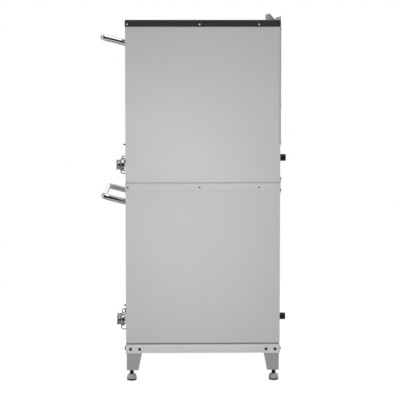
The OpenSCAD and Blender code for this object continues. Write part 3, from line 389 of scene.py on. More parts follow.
def add(tree, kind, settings=None, links=None):
    """Adds one shader node. settings are its attributes or input values, and links its inputs' sources."""
    made = tree.nodes.new("ShaderNode" + kind)
    for key, value in (settings or {}).items():
        if isinstance(key, str) and hasattr(made, key):
            setattr(made, key, value)
        else:
            made.inputs[key].default_value = value
    for key, source in (links or {}).items():
        tree.links.new(source, made.inputs[key])
    return made


def ramp(tree, factor, stops):
    """Colour ramp through (place, linear RGB) stops."""
    made = add(tree, "ValToRGB", links={"Fac": factor})
    for i, (place, rgb) in enumerate(stops):
        stop = made.color_ramp.elements[i] if i < 2 else made.color_ramp.elements.new(place)
        stop.position = place
        stop.color = (*rgb, 1)
    return made.outputs["Color"]


def span(tree, factor, low_end, high_end):
    """Maps 0 to 1 onto a narrower range."""
    made = add(tree, "MapRange", {"To Min": low_end, "To Max": high_end}, {"Value": factor})
    return made.outputs["Result"]


def grain(tree, size_mm, detail=4.0, roughness=0.55):
    """Noise on Object coordinates. Its cells measure size_mm, one number or one for each axis."""
    place = add(tree, "TexCoord").outputs["Object"]
    scale = tuple(1 / (float(s) * MM) for s in np.broadcast_to(size_mm, 3))
    fitted = add(tree, "Mapping", {"Scale": scale}, {"Vector": place}).outputs["Vector"]
    made = add(tree, "TexNoise", {"Scale": 1.0, "Detail": detail, "Roughness": roughness}, {"Vector": fitted})
    return made.outputs["Fac"]


def shaded(rgb, factor):
    """A colour made lighter or darker by a factor."""
    return tuple(min(c * factor, 1.0) for c in rgb)


def finish(name, surface):
    """Starts a material: its tree, and its shader with the surface's constant values on its own sockets."""
    made = bpy.data.materials.new(name)
    made.use_nodes = True
    tree = made.node_tree
    tree.nodes.clear()
    shader = add(tree, "BsdfPrincipled", surface)
    add(tree, "OutputMaterial", links={"Surface": shader.outputs["BSDF"]})
    return made, tree, shader


def bump(tree, shader, height, distance_mm):
    """Raises the shader's surface by a height field."""
    made = add(tree, "Bump", {"Strength": 1.0, "Distance": distance_mm * MM}, {"Height": height})
    tree.links.new(made.outputs["Normal"], shader.inputs["Normal"])


def brushed_stainless(name, rgb, along):
    """304 stainless sheet with a belt-brushed finish: fine parallel lines along one axis. The real lines are
    0.1 mm wide, and are drawn 1.2 mm wide so that they show from a few steps away."""
    made, tree, shader = finish(name, {"Metallic": 0.55})
    width, length = 1.2, 260.0
    line = [width] * 3
    line["xyz".index(along)] = length
    lines = grain(tree, line, detail=6.0, roughness=0.7)
    clouds = grain(tree, 420, detail=2.0)
    tone = add(tree, "Math", {"operation": "MULTIPLY_ADD", 1: 0.5},
               {0: lines, 2: span(tree, clouds, 0.1, 0.4)})
    tree.links.new(ramp(tree, tone.outputs["Value"], [(0.2, shaded(rgb, 0.94)), (0.8, shaded(rgb, 1.03))]),
                   shader.inputs["Base Color"])
    tree.links.new(span(tree, lines, 0.48, 0.62), shader.inputs["Roughness"])
    bump(tree, shader, lines, 0.02)
    return made


def clouded(name, rgb, surface, cloud, stops, roughness=None, relief=None, raised=0.0):
    """Material whose colour, and roughness where it is given, follow one cloudy pattern. stops are places on
    the pattern with factors of the colour. A second pattern, or else the same, raises the surface."""
    made, tree, shader = finish(name, surface)
    tone = grain(tree, *cloud)
    tree.links.new(ramp(tree, tone, [(place, shaded(rgb, factor)) for place, factor in stops]),
                   shader.inputs["Base Color"])
    if roughness:
        tree.links.new(span(tree, tone, *roughness), shader.inputs["Roughness"])
    if raised:
        bump(tree, shader, grain(tree, *relief) if relief else tone, raised)
    return made


def enamel(name, rgb):
    """Baked black enamel on steel: satin, with the faint orange peel that sprayed paint leaves."""
    return clouded(name, rgb, {"Roughness": 0.42, "Coat Weight": 0.15, "Coat Roughness": 0.25}, (90, 5.0),
                   [(0.3, 0.88), (0.75, 1.12)], relief=(3, 2.0), raised=0.05)


def chrome_plate(name, rgb):
    """Bright chrome on polished steel: a near mirror, with a haze of hand marks."""
    return clouded(name, rgb, {"Metallic": 1.0}, (60, 5.0), [(0.3, 0.95), (0.7, 1)], (0.02, 0.07))


def zinc_plate(name, rgb, roughness=(0.3, 0.5), metallic=1.0):
    """Zinc-plated or turned steel: bluish grey and slightly cloudy, with spots where the plate is thin."""
    return clouded(name, rgb, {"Metallic": metallic}, (14, 6.0), [(0.25, 0.72), (0.7, 1.08)], roughness,
                   (1.5,), 0.02)


def mill_scale(name, rgb):
    """Hot-rolled angle steel with its mill scale: dark blue grey, with rubbed lighter patches."""
    return clouded(name, rgb, {"Metallic": 0.85}, ((55, 55, 130), 7.0), [(0.3, 0.6), (0.55, 1), (0.75, 1.35)],
                   (0.45, 0.7), (4,), 0.08)


def aluminised_sheet(name, rgb):
    """Aluminised steel: dull silver with a fine spangle, straw coloured where heat has browned it."""
    made, tree, shader = finish(name, {"Metallic": 0.9})
    place = add(tree, "TexCoord").outputs["Object"]
    cell = 6
    spangle = add(tree, "TexVoronoi", {"Scale": 1 / (cell * MM)}, {"Vector": place}).outputs["Color"]
    heat = grain(tree, (260, 260, 140), detail=4.0)
    brown = (rgb[0] * 0.78, rgb[1] * 0.66, rgb[2] * 0.48)
    tone = ramp(tree, heat, [(0.42, rgb), (0.72, brown)])
    mixed = add(tree, "MixRGB", {"blend_type": "OVERLAY", "Fac": 0.12}, {"Color1": tone, "Color2": spangle})
    tree.links.new(mixed.outputs["Color"], shader.inputs["Base Color"])
    tree.links.new(span(tree, heat, 0.4, 0.58), shader.inputs["Roughness"])
    bump(tree, shader, grain(tree, 2), 0.03)
    return made


def firebrick(name, rgb):
    """Cast refractory stone: matt and sandy, with dark specks, pores and a flour-browned bloom."""
    made, tree, shader = finish(name, {"Roughness": 0.92})
    specks = grain(tree, 2.2, detail=3.0)
    bloom = grain(tree, 180, detail=4.0)
    ground = ramp(tree, bloom, [(0.3, shaded(rgb, 0.8)), (0.7, shaded(rgb, 1.1))])
    grit = ramp(tree, specks, [(0.3, (0.12, 0.1, 0.08)), (0.42, (0.5, 0.5, 0.5)), (0.7, (0.62, 0.6, 0.57))])
    mixed = add(tree, "MixRGB", {"blend_type": "OVERLAY", "Fac": 0.8}, {"Color1": ground, "Color2": grit})
    tree.links.new(mixed.outputs["Color"], shader.inputs["Base Color"])
    bump(tree, shader, specks, 0.5)
    return made


def mineral_wool(name, rgb):
    """Mineral wool board: matt yellow brown fibres, with soft lumps."""
    return clouded(name, rgb, {"Roughness": 1.0, "Sheen Weight": 0.2}, ((9, 1.2, 1.2), 7.0, 0.7),
                   [(0.3, 0.6), (0.7, 1.15)], raised=1.0)


def black_iron(name, rgb):
    """Black malleable iron pipe fittings: oiled oxide over a sand-cast skin."""
    return clouded(name, rgb, {"Metallic": 0.4}, (26, 5.0), [(0.35, 0.7), (0.75, 1.9)], (0.35, 0.6),
                   (1.8, 4.0), 0.12)


def die_casting(name, rgb):
    """Die-cast valve body: pale grey zinc alloy with a blasted, pebbly skin."""
    return clouded(name, rgb, {"Metallic": 0.9, "Roughness": 0.5}, (35, 5.0), [(0.3, 0.75), (0.7, 1.05)],
                   relief=(1.2, 3.0), raised=0.1)


def phenolic(name, rgb):
    """Black phenolic plastic, compression moulded: a soft sheen over a fine moulded grain."""
    return clouded(name, rgb, {"Roughness": 0.38}, (18, 5.0), [(0.35, 0.8), (0.75, 1.6)],
                   relief=(0.9, 3.0), raised=0.04)


FINISH = {}


def make_finishes(colours):
    """Makes every material once, from the colours of the sidebar."""
    c = {key: tuple(getattr(colours, key)) for key in Finishes.__annotations__}
    steel = c["stainless"]
    FINISH.update(
        side_steel=brushed_stainless("Brushed stainless, lines front to back", steel, "y"),
        front_steel=brushed_stainless("Brushed stainless, lines side to side", steel, "x"),
        # Painted light: a lightened copy of the stainless, worn by the base channel, the leg tops, the flue
        # hood and the upper deck's cover screws so that they read as lit.
        channel_steel=brushed_stainless("Brushed stainless, bright channel", shaded(steel, 1.14), "y"),
        # Painted shade: a darkened copy of the stainless, worn by the legs, the rear cover and the base's
        # raised rim so that they read as shaded.
        leg_steel=brushed_stainless("Brushed stainless, lines up and down", shaded(steel, 0.69), "z"),
        enamel=enamel("Black baked enamel", c["paint"]),
        chrome=chrome_plate("Bright chrome plate", c["chrome"]),
        # Painted dark reflections: a darkened copy of the chrome, worn by the knobs and their guards.
        knob_chrome=chrome_plate("Worn chrome plate", shaded(c["chrome"], 0.7)),
        zinc=zinc_plate("Zinc-plated steel", c["zinc"]),
        # Zinc darkened to 0.3. On the feet's bottom rings and the lower deck's cover screws this darkness is
        # painted shade.
        bolt=zinc_plate("Zinc-plated bolts", shaded(c["zinc"], 0.3), (0.35, 0.5)),
        turned=zinc_plate("Turned steel", shaded(c["zinc"], 1.2), (0.4, 0.55), 0.35),
        mill=mill_scale("Hot-rolled angle steel", c["mill"]),
        aluminised=aluminised_sheet("Aluminised steel", c["aluminised"]),
        stone=firebrick("Cast baking stone", c["stone"]),
        wool=mineral_wool("Mineral wool", c["wool"]),
        iron=black_iron("Black malleable iron", c["iron"]),
        casting=die_casting("Die-cast zinc alloy", c["casting"]),
        plastic=phenolic("Black phenolic", c["plastic"]),
    )


# What each packed node wears where it stays as it is
NODE_FINISH = {
    "mill": ["chassis"],
    "aluminised": ["oven_liner", "deflector", "burners"],
    "wool": ["insulation", "door_insulation"],
    "front_steel": ["control_panel", "back_panel"],
    "zinc": ["hinge_pins"],
}


class DECKOVEN_OT_finishes(bpy.types.Operator):
    """Makes the materials and puts them on the packed nodes that stay"""
    bl_idname = "deckoven.finishes"
    bl_label = "Finishes"

    def execute(self, context):
        make_finishes(context.scene.oven_finishes)
        for key, names in NODE_FINISH.items():
            for name in names:
                for deck in DECKS:
                    dress(deck + "_" + name, key)
        dress("vent_duct", "aluminised")
        dress("gas_controls", "casting")
        return {"FINISHED"}


def dress(node, key):
    """Puts a finish on a packed node."""
    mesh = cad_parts[node].data
    mesh.materials.clear()
    mesh.materials.append(FINISH[key])


class DECKOVEN_OT_casing(bpy.types.Operator):
    """Side panels and covers of both decks"""
    bl_idname = "deckoven.casing"
    bl_label = "Casing"

    def execute(self, context):
        s = in_mm(context.scene.oven_sheet)
        for deck in DECKS:
            for side, word in zip(SIDES, ("left", "right")):
                node = f"{deck}_{word}_side"
                lo, hi = ends(node)
                outer, inner = side * HALF_W, side * (HALF_W - s.wall)
                x = sorted((outer, inner))
                flange = sorted((inner, side * (HALF_W - s.flange)))
                parts = [slab((x[0], lo[1], lo[2]), (x[1], hi[1], hi[2]), "x", s.edge, s.bend)]
                for y in (FRONT + s.wall, BACK - 2 * s.wall):
                    parts.append(slab((flange[0], y, lo[2]), (flange[1], y + s.wall, hi[2]), "y"))
                piece(f"{node}_sheet", CABINET, parts, "side_steel", [node])
            node = deck + "_top_cover"
            lo, hi = ends(node)
            duct_lo, duct_hi = ends("vent_duct")
            hole = (duct_lo[0] - FLUE_GAP, duct_hi[0] + FLUE_GAP, duct_hi[1] - FLUE_DEPTH, duct_hi[1])
            cover = tray(lo, hi, "z", hi[2], lo[2] - hi[2], s.cover_bend, s.wall, hole)
            key, slot = ("enamel", "black_paint") if deck == "upper" else ("side_steel", "stainless")
            piece(node + "_tray", CABINET, [cover], key, [node])
        return {"FINISHED"}


def louvred_sheet(s, v, x_half, z0, z1):
    """Louvred cover as a height field: the sheet is pressed in by depth · rise(z) · taper(x), with a slit
    along each louvre's upper edge, where the pressed row and the flat row part."""
    step = 2 * (x_half - s.flange) / v.columns
    centres = (np.arange(v.columns) - (v.columns - 1) / 2) * step
    across = np.array([0, 0.7, 1.6, 2.8, 4.5, 7.0])  # columns at a louvre's end, up to its full depth
    half = v.length / 2
    plain = np.linspace(-half + 20, half - 20, 5)
    one = np.concatenate([-half + across, plain, half - across[::-1]])
    xs = np.concatenate([[-x_half], (centres[:, None] + one).ravel(), [x_half]])
    first = (z0 + z1) / 2 - (v.rows - 1) / 2 * v.pitch - v.height / 2
    rise = np.array([0, 0.08, 0.2, 0.4, 0.6, 0.8, 0.92, 1.0])
    feet = first + np.arange(v.rows) * v.pitch
    rows = np.concatenate([rise, [1.0]]) * v.height
    zs = np.concatenate([[z0], (feet[:, None] + rows).ravel(), [z1]])
    press = np.concatenate([[0], np.tile(np.append(rise ** 1.15, 0.0), v.rows), [0]])
    along = np.clip((half - np.abs(xs[:, None] - centres).min(1)) / across[-1], 0, 1)
    taper = np.sin(along * np.pi / 2) ** 0.7
    depth = (v.depth - s.wall) * press[None, :] * taper[:, None]
    x, z = np.meshgrid(xs, zs, indexing="ij")
    grid = np.stack([x, FRONT + depth, z], -1)
    nu, nv = x.shape
    index = np.arange(nu * nv).reshape(nu, nv)
    slit = np.zeros((nu - 1, nv - 1), bool)
    slit[:, len(rows) - 1:-1:len(rows)] = True
    quads = np.stack([index[:-1, :-1], index[1:, :-1], index[1:, 1:], index[:-1, 1:]], -1)[~slit]
    return grid.reshape(-1, 3), quads.tolist()


class DECKOVEN_OT_front(bpy.types.Operator):
    """Front frames around the doors and louvred burner covers"""
    bl_idname = "deckoven.front"
    bl_label = "Front"

    def execute(self, context):
        s, v = in_mm(context.scene.oven_sheet), in_mm(context.scene.oven_louvres)
        for deck in DECKS:
            node = deck + "_front_frame"
            lo, hi = ends(node)
            door_lo, door_hi = ends(deck + "_door_skin")
            beside, below, above = DOOR_GAPS
            deep = hi[1] - lo[1]
            path = np.vstack([fold(s.bend) * (-1, 1),
                              [[0, deep], [-s.wall, deep], [-s.wall, s.bend], [-s.bend, s.wall]]])
            outer = rounded_rect(lo[0], hi[0], lo[2], hi[2], 1.0)
            rings = drawn_in(door_lo[[0, 2]] - (beside, below), door_hi[[0, 2]] + (beside, above),
                             path[:, 0], 2.0)
            heights = [FRONT + s.edge, FRONT, *(FRONT + path[:, 1]), FRONT + s.wall]
            brim = rounded_rect(lo[0] + s.edge, hi[0] - s.edge, lo[2] + s.edge, hi[2] - s.edge, 0.5)
            surround = skin(stack([outer, brim, *rings, outer], heights, "y"), wrap_u=True)
            piece(node + "_sheet", CABINET, [surround], "front_steel", [node])

            node = deck + "_burner_cover"
            lo, hi = ends(node)
            cover = piece(node + "_louvres", CABINET, [louvred_sheet(s, v, hi[0], lo[2], hi[2])],
                          "front_steel", [node], closed=False)
            thicken(cover, s.wall)
        return {"FINISHED"}


class DECKOVEN_OT_doors(bpy.types.Operator):
    """Door pans, inside and outside, and the tube handles"""
    bl_idname = "deckoven.doors"
    bl_label = "Doors and handles"

    def execute(self, context):
        s, f = in_mm(context.scene.oven_sheet), in_mm(context.scene.oven_fittings)
        for deck in DECKS:
            body = deck + "_door"
            node = deck + "_door_skin"
            lo, hi = ends(node)
            pan = tray(lo[[0, 2]], hi[[0, 2]], "y", lo[1], hi[1] - lo[1], s.door_bend, s.wall)
            piece(node + "_pan", body, [pan], "front_steel", [node])
            node = deck + "_door_liner"
            lo, hi = ends(node)
            pan = tray(lo[[0, 2]], hi[[0, 2]], "y", hi[1], lo[1] - hi[1], s.bend, s.wall)
            piece(node + "_pan", body, [pan], "aluminised", [node])
            self.handle(deck, f)
        return {"FINISHED"}

    def handle(self, deck, f):
        """Bent tube that stands on the door, with a set screw at the outer side of each root."""
        node = deck + "_door_handle"
        lo, hi = ends(node)
        r = f.handle / 2
        x = hi[0] - r
        bar = np.array([0, lo[1] + r, hi[2] - r])
        reach = FRONT - bar[1]
        root_z = lo[2] + r * np.hypot(1, (bar[2] - lo[2] - r) / reach)
        root = np.array([0, FRONT, root_z])
        corners = [root + [x, 0, 0], bar + [x, 0, 0], bar - [x, 0, 0], root - [x, 0, 0]]
        plane = np.cross(AXES["x"], root - bar)
        tube = sweep(rounded_path(corners, f.handle_bend, 14), f.handle, plane, 40)
        piece(node + "_tube", deck + "_door", [tube], "chrome", [node])
        along = (bar - root) / np.linalg.norm(bar - root)
        screws = []
        for side in SIDES:
            sideways = side * AXES["x"]
            out = (np.cross(along, AXES["x"]) + sideways) / np.sqrt(2)
            seat = root + x * sideways + along * f.set_screw_out + out * (r - SUNK)
            screws.append(set_screw(seat, out, along, f.set_screw))
        piece(node + "_set_screws", deck + "_door", screws, "bolt")


def hexagon(flat, angle):
    """Radius of a hexagon: its flat's distance over the cosine of the angle from that flat's middle."""
    return flat / np.cos((angle + np.pi / 6) % (np.pi / 3) - np.pi / 6)


def bolt(centre, axis, across, height):
    """Hexagon bolt: a round washer face, a hexagon from just above it, and a top bevelled by a cone."""
    r = across / 2
    step = 1.0  # height of the washer face, and of the bevel
    flat, washer, bevel = r * np.cos(np.pi / 6), r * 1.15, r * 0.86
    profile = [(0, -SUNK), (washer, -SUNK), (washer, 0.6), (washer - 0.6, step), (r, step + 0.01),
               (r, height - step), (bevel, height), (0, height)]

    def radius(ring, h, angle):
        return np.where(h <= step, ring + 0 * angle, np.minimum(ring, hexagon(flat, angle)))
    return lathe(profile, centre, axis, 36, radius)


def set_screw(centre, up, along, diameter):
    """Socket set screw: a disc with a bevelled rim round a six-sided hole, turned about a slanting axis."""
    r = diameter / 2
    socket, flat, floor, top = r * 0.62, r * 0.54, 0.8, 2.6
    angle = np.linspace(0, 2 * np.pi, 36, endpoint=False)[None, :]
    profile = np.array([(0, -SUNK), (r, -SUNK), (r, 2.0), (r - 0.6, top), (socket, top), (socket, floor),
                        (0, floor)])
    radius, height = profile[:, :1], profile[:, 1:]
    rim = np.where(np.isclose(radius, socket), hexagon(flat, angle), radius + 0 * angle)
    side = np.cross(up, along)
    grid = (centre + height[..., None] * up + rim[..., None]
            * (np.cos(angle)[..., None] * along + np.sin(angle)[..., None] * side))
    return skin(grid)


def pan_screw(centre, axis, diameter):
    """Pan-head screw: a low dome with a fine groove round its middle."""
    r, height = diameter / 2, PAN_HEIGHT
    t = np.linspace(0, np.pi / 2, 7)
    dome = np.stack([r * np.sin(t), height * (0.55 + 0.45 * np.cos(t))], 1)[::-1]
    groove = [(r * 0.42, height * 0.93), (r * 0.2, height * 0.97)]
    return lathe(np.vstack([[(0, -SUNK), (r, -SUNK)], dome[:-1], groove, [(0, height)]]), centre, axis, 32)


def thumbscrew(centre):
    """Thumbscrew: a neck and a head whose radius goes in and out along its knurls."""
    profile = [(0, -SUNK), (3, -SUNK), (3, 1.5), (4, 2), (4, 10), (3.2, 11), (0, 11)]
    knurls, relief = 16, 0.035

    def radius(r, h, angle):
        return r * (1 + relief * np.sign(np.sin(knurls * angle)) * (h > 1.9) * (h < 10.1))
    return lathe(profile, centre, "-y", 48, radius)


class DECKOVEN_OT_fasteners(bpy.types.Operator):
    """Leg bolts, bracket bolts, cover screws and thumbscrews"""
    bl_idname = "deckoven.fasteners"
    bl_label = "Fasteners"

    def execute(self, context):
        s, f = in_mm(context.scene.oven_sheet), in_mm(context.scene.oven_fittings)
        lo, hi = ends("hex_bolts")
        head = hi[0] - HALF_W - s.leg_wall
        z = lo[2] + f.bolt / 2
        bolts, screws, pins = [], [], []
        for side in SIDES:
            for at in LEG_BOLTS:
                for y in (FRONT + at, BACK - at):
                    place = (side * (HALF_W + s.leg_wall), y, z)
                    bolts.append(bolt(place, OUTWARDS[side], f.bolt, head))
                x = side * (HALF_W - at)
                bolts.append(bolt((x, FRONT - s.leg_wall, z), "-y", f.bolt, head))
                bolts.append(bolt((x, BACK + s.leg_wall, z), "y", f.bolt, head))
            for up in BRACKET_BOLTS:
                place = (side * (HALF_W - BRACKET_INSET), BACK + BRACKET_WALL, DECK_Z["upper"] + up)
                bolts.append(bolt(place, "y", f.bolt, head))
        piece("hex_bolt_set", CABINET, bolts, "bolt", ["hex_bolts"])

        first, second, last = COVER_SCREWS
        for deck in DECKS:
            z = high(deck + "_top_cover")[2] - COVER_SCREW_DROP
            pin_z = high(deck + "_control_panel")[2] - THUMBSCREW_DROP
            for side in SIDES:
                for y in (FRONT + first, FRONT + second, BACK - last):
                    screws.append(pan_screw((side * (HALF_W + s.wall), y, z), OUTWARDS[side], f.screw))
                pins.append(thumbscrew((side * THUMBSCREW_X, FRONT, pin_z)))
        made = piece("cover_screw_set", CABINET, screws, "bolt", ["cover_screws"])
        # Painted light and shade: the same screws are lightened steel on the upper deck and dark zinc on the
        # lower one.
        second_finish(made, "channel_steel", lambda z: z > DECK_Z["upper"] + f.screw)
        piece("thumbscrew_set", CABINET, pins, "plastic", ["panel_thumbscrews"])
        return {"FINISHED"}


class DECKOVEN_OT_stand(bpy.types.Operator):
    """Base channel, legs and levelling feet"""
    bl_idname = "deckoven.stand"
    bl_label = "Stand"

    def execute(self, context):
        s, f = in_mm(context.scene.oven_sheet), in_mm(context.scene.oven_fittings)
        lo, hi = ends("base_frame")
        top = hi[2] - RIM_HEIGHT
        b, w = s.channel_bend, s.channel
        half = np.vstack([[(s.flange, w), (s.flange, 0)], fold(b)])
        inner = w + fold(b - w)
        path = np.array([(i, lo[2] + h) for i, h in half] + [(i, top - h) for i, h in half[::-1]]
                        + [(i, top - h) for i, h in inner] + [(i, lo[2] + h) for i, h in inner[::-1]])
        channel = skin(stack(drawn_in(lo, hi, path[:, 0], b), path[:, 1], "z"), wrap_u=True)
        out, back = RIM
        path = [(back, top - 1), (out, top - 1), (out, hi[2] - s.edge), (out + s.edge, hi[2]),
                (back - s.edge, hi[2]), (back, hi[2] - s.edge)]
        rings = [rounded_rect(lo[0] + e, hi[0] - e, lo[1] + e, hi[1] - e, 2.0) for e, _ in path]
        rim = skin(stack(rings, [h for _, h in path], "z"), wrap_u=True)
        base = piece("base_channel", CABINET, [channel, rim], "channel_steel", ["base_frame"])
        clear = 0.2  # of the channel's own top faces
        # Painted shade: the raised rim, in the gap under the lower deck, wears the darkened steel.
        second_finish(base, "leg_steel", lambda z: z > top + clear)

        parts = []
        for sx in SIDES:
            for sy in SIDES:
                parts += self.leg(s, sx, sy)
        # Painted shade and light: the legs wear the darkened steel, and their tops over the channel the
        # lightened steel.
        legs = piece("leg_set", CABINET, parts, "leg_steel", ["legs"])
        second_finish(legs, "channel_steel", lambda z: z > BASE_Z - s.channel)
        for end in ("front", "rear"):
            for word in ("left", "right"):
                self.foot(f"foot_{end}_{word}", f)
        return {"FINISHED"}

    def leg(self, s, sx, sy):
        """Folded leg: an L in plan whose sides taper down, carried along a path that steps in below the
        channel, with the same path offset by the steel's thickness as its inside."""
        w, step = s.leg_wall, s.leg_inset + s.leg_wall
        top = high("legs")[2]
        outer = [(step, top), (step, BASE_Z - 1.5), (step - 1, BASE_Z - 2.5), (1.0, BASE_Z - 2.5),
                 (0, BASE_Z - 4.5)]
        inner = [(step - w, top), (step - w, BASE_Z + 1.5), (step - w, BASE_Z), (-w, BASE_Z),
                 (-w, BASE_Z - 4.5)]
        outer += [(-b, LEG_FOOT_Z + a) for a, b in fold(s.leg_hem, 5)]
        inner += [(-w - b, LEG_FOOT_Z + w + a) for a, b in fold(s.leg_hem - w, 5)]
        widths = [s.leg_top] * 5 + [s.leg_bottom] * 5
        deep = BACK if sy > 0 else -FRONT
        x_face, y_face = HALF_W - s.leg_inset, deep - s.leg_inset
        t = np.linspace(0, np.pi / 2, 7)
        grid = []
        for (out, z), wide in zip(outer + inner[::-1], widths + widths[::-1]):
            r = max(s.leg_bend + out, 0.5)
            cx, cy = x_face + out - r, y_face + out - r
            arc = np.stack([cx + r * np.sin(t), cy + r * np.cos(t)], 1)
            line = np.vstack([[(HALF_W - wide, y_face + out)], arc,
                              [(x_face + out, y_face + s.leg_inset - wide)]])
            grid.append(np.column_stack([line, np.full(len(line), z)]))
        grid = np.array(grid).transpose(1, 0, 2) * [sx, sy, 1]
        within = 1  # from the leg's outer faces to the plate's edge, inside the leg's walls
        x = sorted((sx * (HALF_W - s.leg_bottom), sx * (x_face - within)))
        y = sorted((sy * (y_face + s.leg_inset - s.leg_bottom), sy * (y_face - within)))
        plate = slab((x[0], y[0], LEG_FOOT_Z), (x[1], y[1], LEG_FOOT_Z + LEG_PLATE), "z", 0.6, 2.0)
        bore = 11.08
        bush = [(bore, 0), (17, 0), (17, 38), (16, 40), (12, 40), (bore, 39)]
        place = (sx * (HALF_W - FOOT_INSET[0]), sy * (deep - FOOT_INSET[1]), LEG_FOOT_Z)
        return [skin(grid), plate, turned_ring(bush, place, "z", 40)]

    def foot(self, node, f):
        """Levelling foot: a domed pad with a rolled rim under a threaded stem."""
        centre = middle(node)
        top = high(node)[2]
        r, pitch, deep = f.stem / 2, 2.5, 0.9
        wide = high(node)[0] - centre[0]
        belly, crown = 14.0, 37.0
        pad = [(0, 0), (wide - 7, 0), (wide - 3, 1.2), (wide - 0.6, 4), (wide, 7), (wide - 0.2, 8.6),
               (wide - 1, 9.4), (wide - 0.2, 10.2)]
        t = np.radians(np.arange(0, 91, 7.5))
        dome = np.stack([r + (wide - r) * np.cos(t) ** 0.8, belly + (crown - belly) * np.sin(t)], 1)
        thread = np.arange(crown + 1, top - 2, pitch / 8)
        rows = np.vstack([pad, dome, np.column_stack([np.full(len(thread), r), thread]),
                          [(r - 1.5, top - 1), (r - 2, top), (0, top)]])

        def radius(ring, h, angle):
            turn = (h / pitch - angle / (2 * np.pi)) % 1.0
            cut = deep * np.abs(2 * turn - 1) * ((h > crown + 2) & (h < top - 2))
            return ring - cut
        made = lathe(rows, (centre[0], centre[1], 0), "z", 48, radius)
        foot = piece(node + "_turned", node, [made], "turned", [node])
        # Painted shade: the pad's bottom ring wears the dark zinc, for the dark outline where the foot meets
        # the floor; the threaded stem wears it too.
        second_finish(foot, "bolt", lambda z: (z < belly - 5) | (z > crown))


def dial_marks(f, centre, turn, count):
    """Printed marks round a knob: bars that point to its middle, clockwise from the top over its turn."""
    inner, outer, half, root = f.skirt / 2 + 3, f.skirt / 2 + 10, 1.0, 0.5
    bars = []
    for angle in np.radians(np.linspace(0, turn, count)):
        out = np.array([np.sin(angle), np.cos(angle)])
        across = half * np.array([out[1], -out[0]])
        corners = [out * inner - across, out * outer - across, out * outer + across, out * inner + across]
        bars.append(prism(centre[[0, 2]] + corners, FRONT - f.print_out, FRONT + root, "y"))
    return bars


class DECKOVEN_OT_controls(bpy.types.Operator):
    """Knobs, knob guards and igniter buttons"""
    bl_idname = "deckoven.controls"
    bl_label = "Controls"

    def execute(self, context):
        f = in_mm(context.scene.oven_fittings)
        guards, bezels, marks = [], [], []
        for deck in DECKS:
            marks += dial_marks(f, middle(deck + "_valve_knob"), 90, 2)
            marks += dial_marks(f, middle(deck + "_thermostat_knob"), 270, 10)
            for name in ("valve_knob", "thermostat_knob"):
                self.knob(deck, name, f)
            z = middle(deck + "_valve_knob")[2]
            for name, side in (("thermostat_knob", -1), ("valve_knob", 1)):
                x = middle(f"{deck}_{name}")[0] + side * f.guard_beside
                guards.append(self.guard(f, x, z))
            centre = middle(deck + "_igniter_button")
            centre[1] = FRONT
            bore, thread = 10.3, 12.1
            bezel = [(bore, -26), (thread, -26), (thread, -1), (14.5, -1), (14.5, 9), (14.0, 11), (12.6, 12),
                     (11.2, 12), (bore, 11)]
            bezels.append(turned_ring(bezel, centre, "-y", 48))
            button = [(0, -12), (9.5, -12), (10, -11.5), (10, 20.2), (9.4, 21.5), (8.4, 22), (6, 21.2),
                      (3, 20.4), (0, 20.1)]
            piece(deck + "_igniter_cap", deck + "_igniter_button", [lathe(button, centre, "-y", 48)],
                  "plastic", [deck + "_igniter_button"])
        # Painted dark reflections: the guards wear the darkened chrome.
        piece("knob_guard_set", CABINET, guards, "knob_chrome", ["knob_guards"])
        piece("dial_mark_set", CABINET, marks, "enamel")
        piece("igniter_bezel_set", CABINET, bezels, "plastic", ["igniter_bezels"])
        return {"FINISHED"}

    def guard(self, f, x, z):
        """Rod bent to a C that stands on the panel."""
        arm = f.guard_height / 2 - f.guard / 2
        y = FRONT - f.guard_reach
        corners = [(x, FRONT, z - arm), (x, y, z - arm), (x, y, z + arm), (x, FRONT, z + arm)]
        return sweep(rounded_path(corners, f.guard_bend, 10), f.guard, AXES["x"], 20)

    def knob(self, deck, name, f):
        """Turned knob: bevelled skirt, waisted grip with shallow flutes, and a spindle behind."""
        node = f"{deck}_{name}"
        centre = middle(node)
        centre[1] = FRONT
        back, tip = high(node)[1] - FRONT, FRONT - low(node)[1]
        flutes, flute_depth = 12, 1.2
        gap, skirt = f.knob_gap, f.knob_gap + f.skirt_height
        s, g, w = f.skirt / 2, f.grip / 2, f.waist / 2
        t = np.linspace(0, np.pi, 13)
        grip = np.stack([g - (g - w) * np.sin(t), skirt + 1 + (tip - skirt - 3) * t / np.pi], 1)
        rows = np.vstack([[(0, -back), (5, -back), (5, gap), (s - 2, gap), (s, gap + 2), (s, skirt - 2),
                           (s - 1.2, skirt - 0.4), (s - 3, skirt), (g - 2, skirt)],
                          grip,
                          [(g - 1, tip - 1), (g - 2.5, tip), (g - 6, tip), (g - 7, tip - 1), (0, tip - 1)]])

        def radius(r, h, angle):
            flute = 0.5 * (1 - np.cos(flutes * angle)) * flute_depth
            return r - flute * ((h > skirt + 1.5) & (h < tip - 2.2))
        # Painted dark reflections: the knobs wear the darkened chrome.
        piece(node + "_turned", node, [lathe(rows, centre, "-y", 96, radius)], "knob_chrome",
              [node])
        half = f.pointer / 2
        pointer = slab((centre[0] - half, FRONT - tip + 0.2, centre[2] + g / 4),
                       (centre[0] + half, FRONT - tip + 1.5, centre[2] + g - 7.5), "y", 0.3, 0.6)
        piece(node + "_pointer", node, [pointer], "plastic")


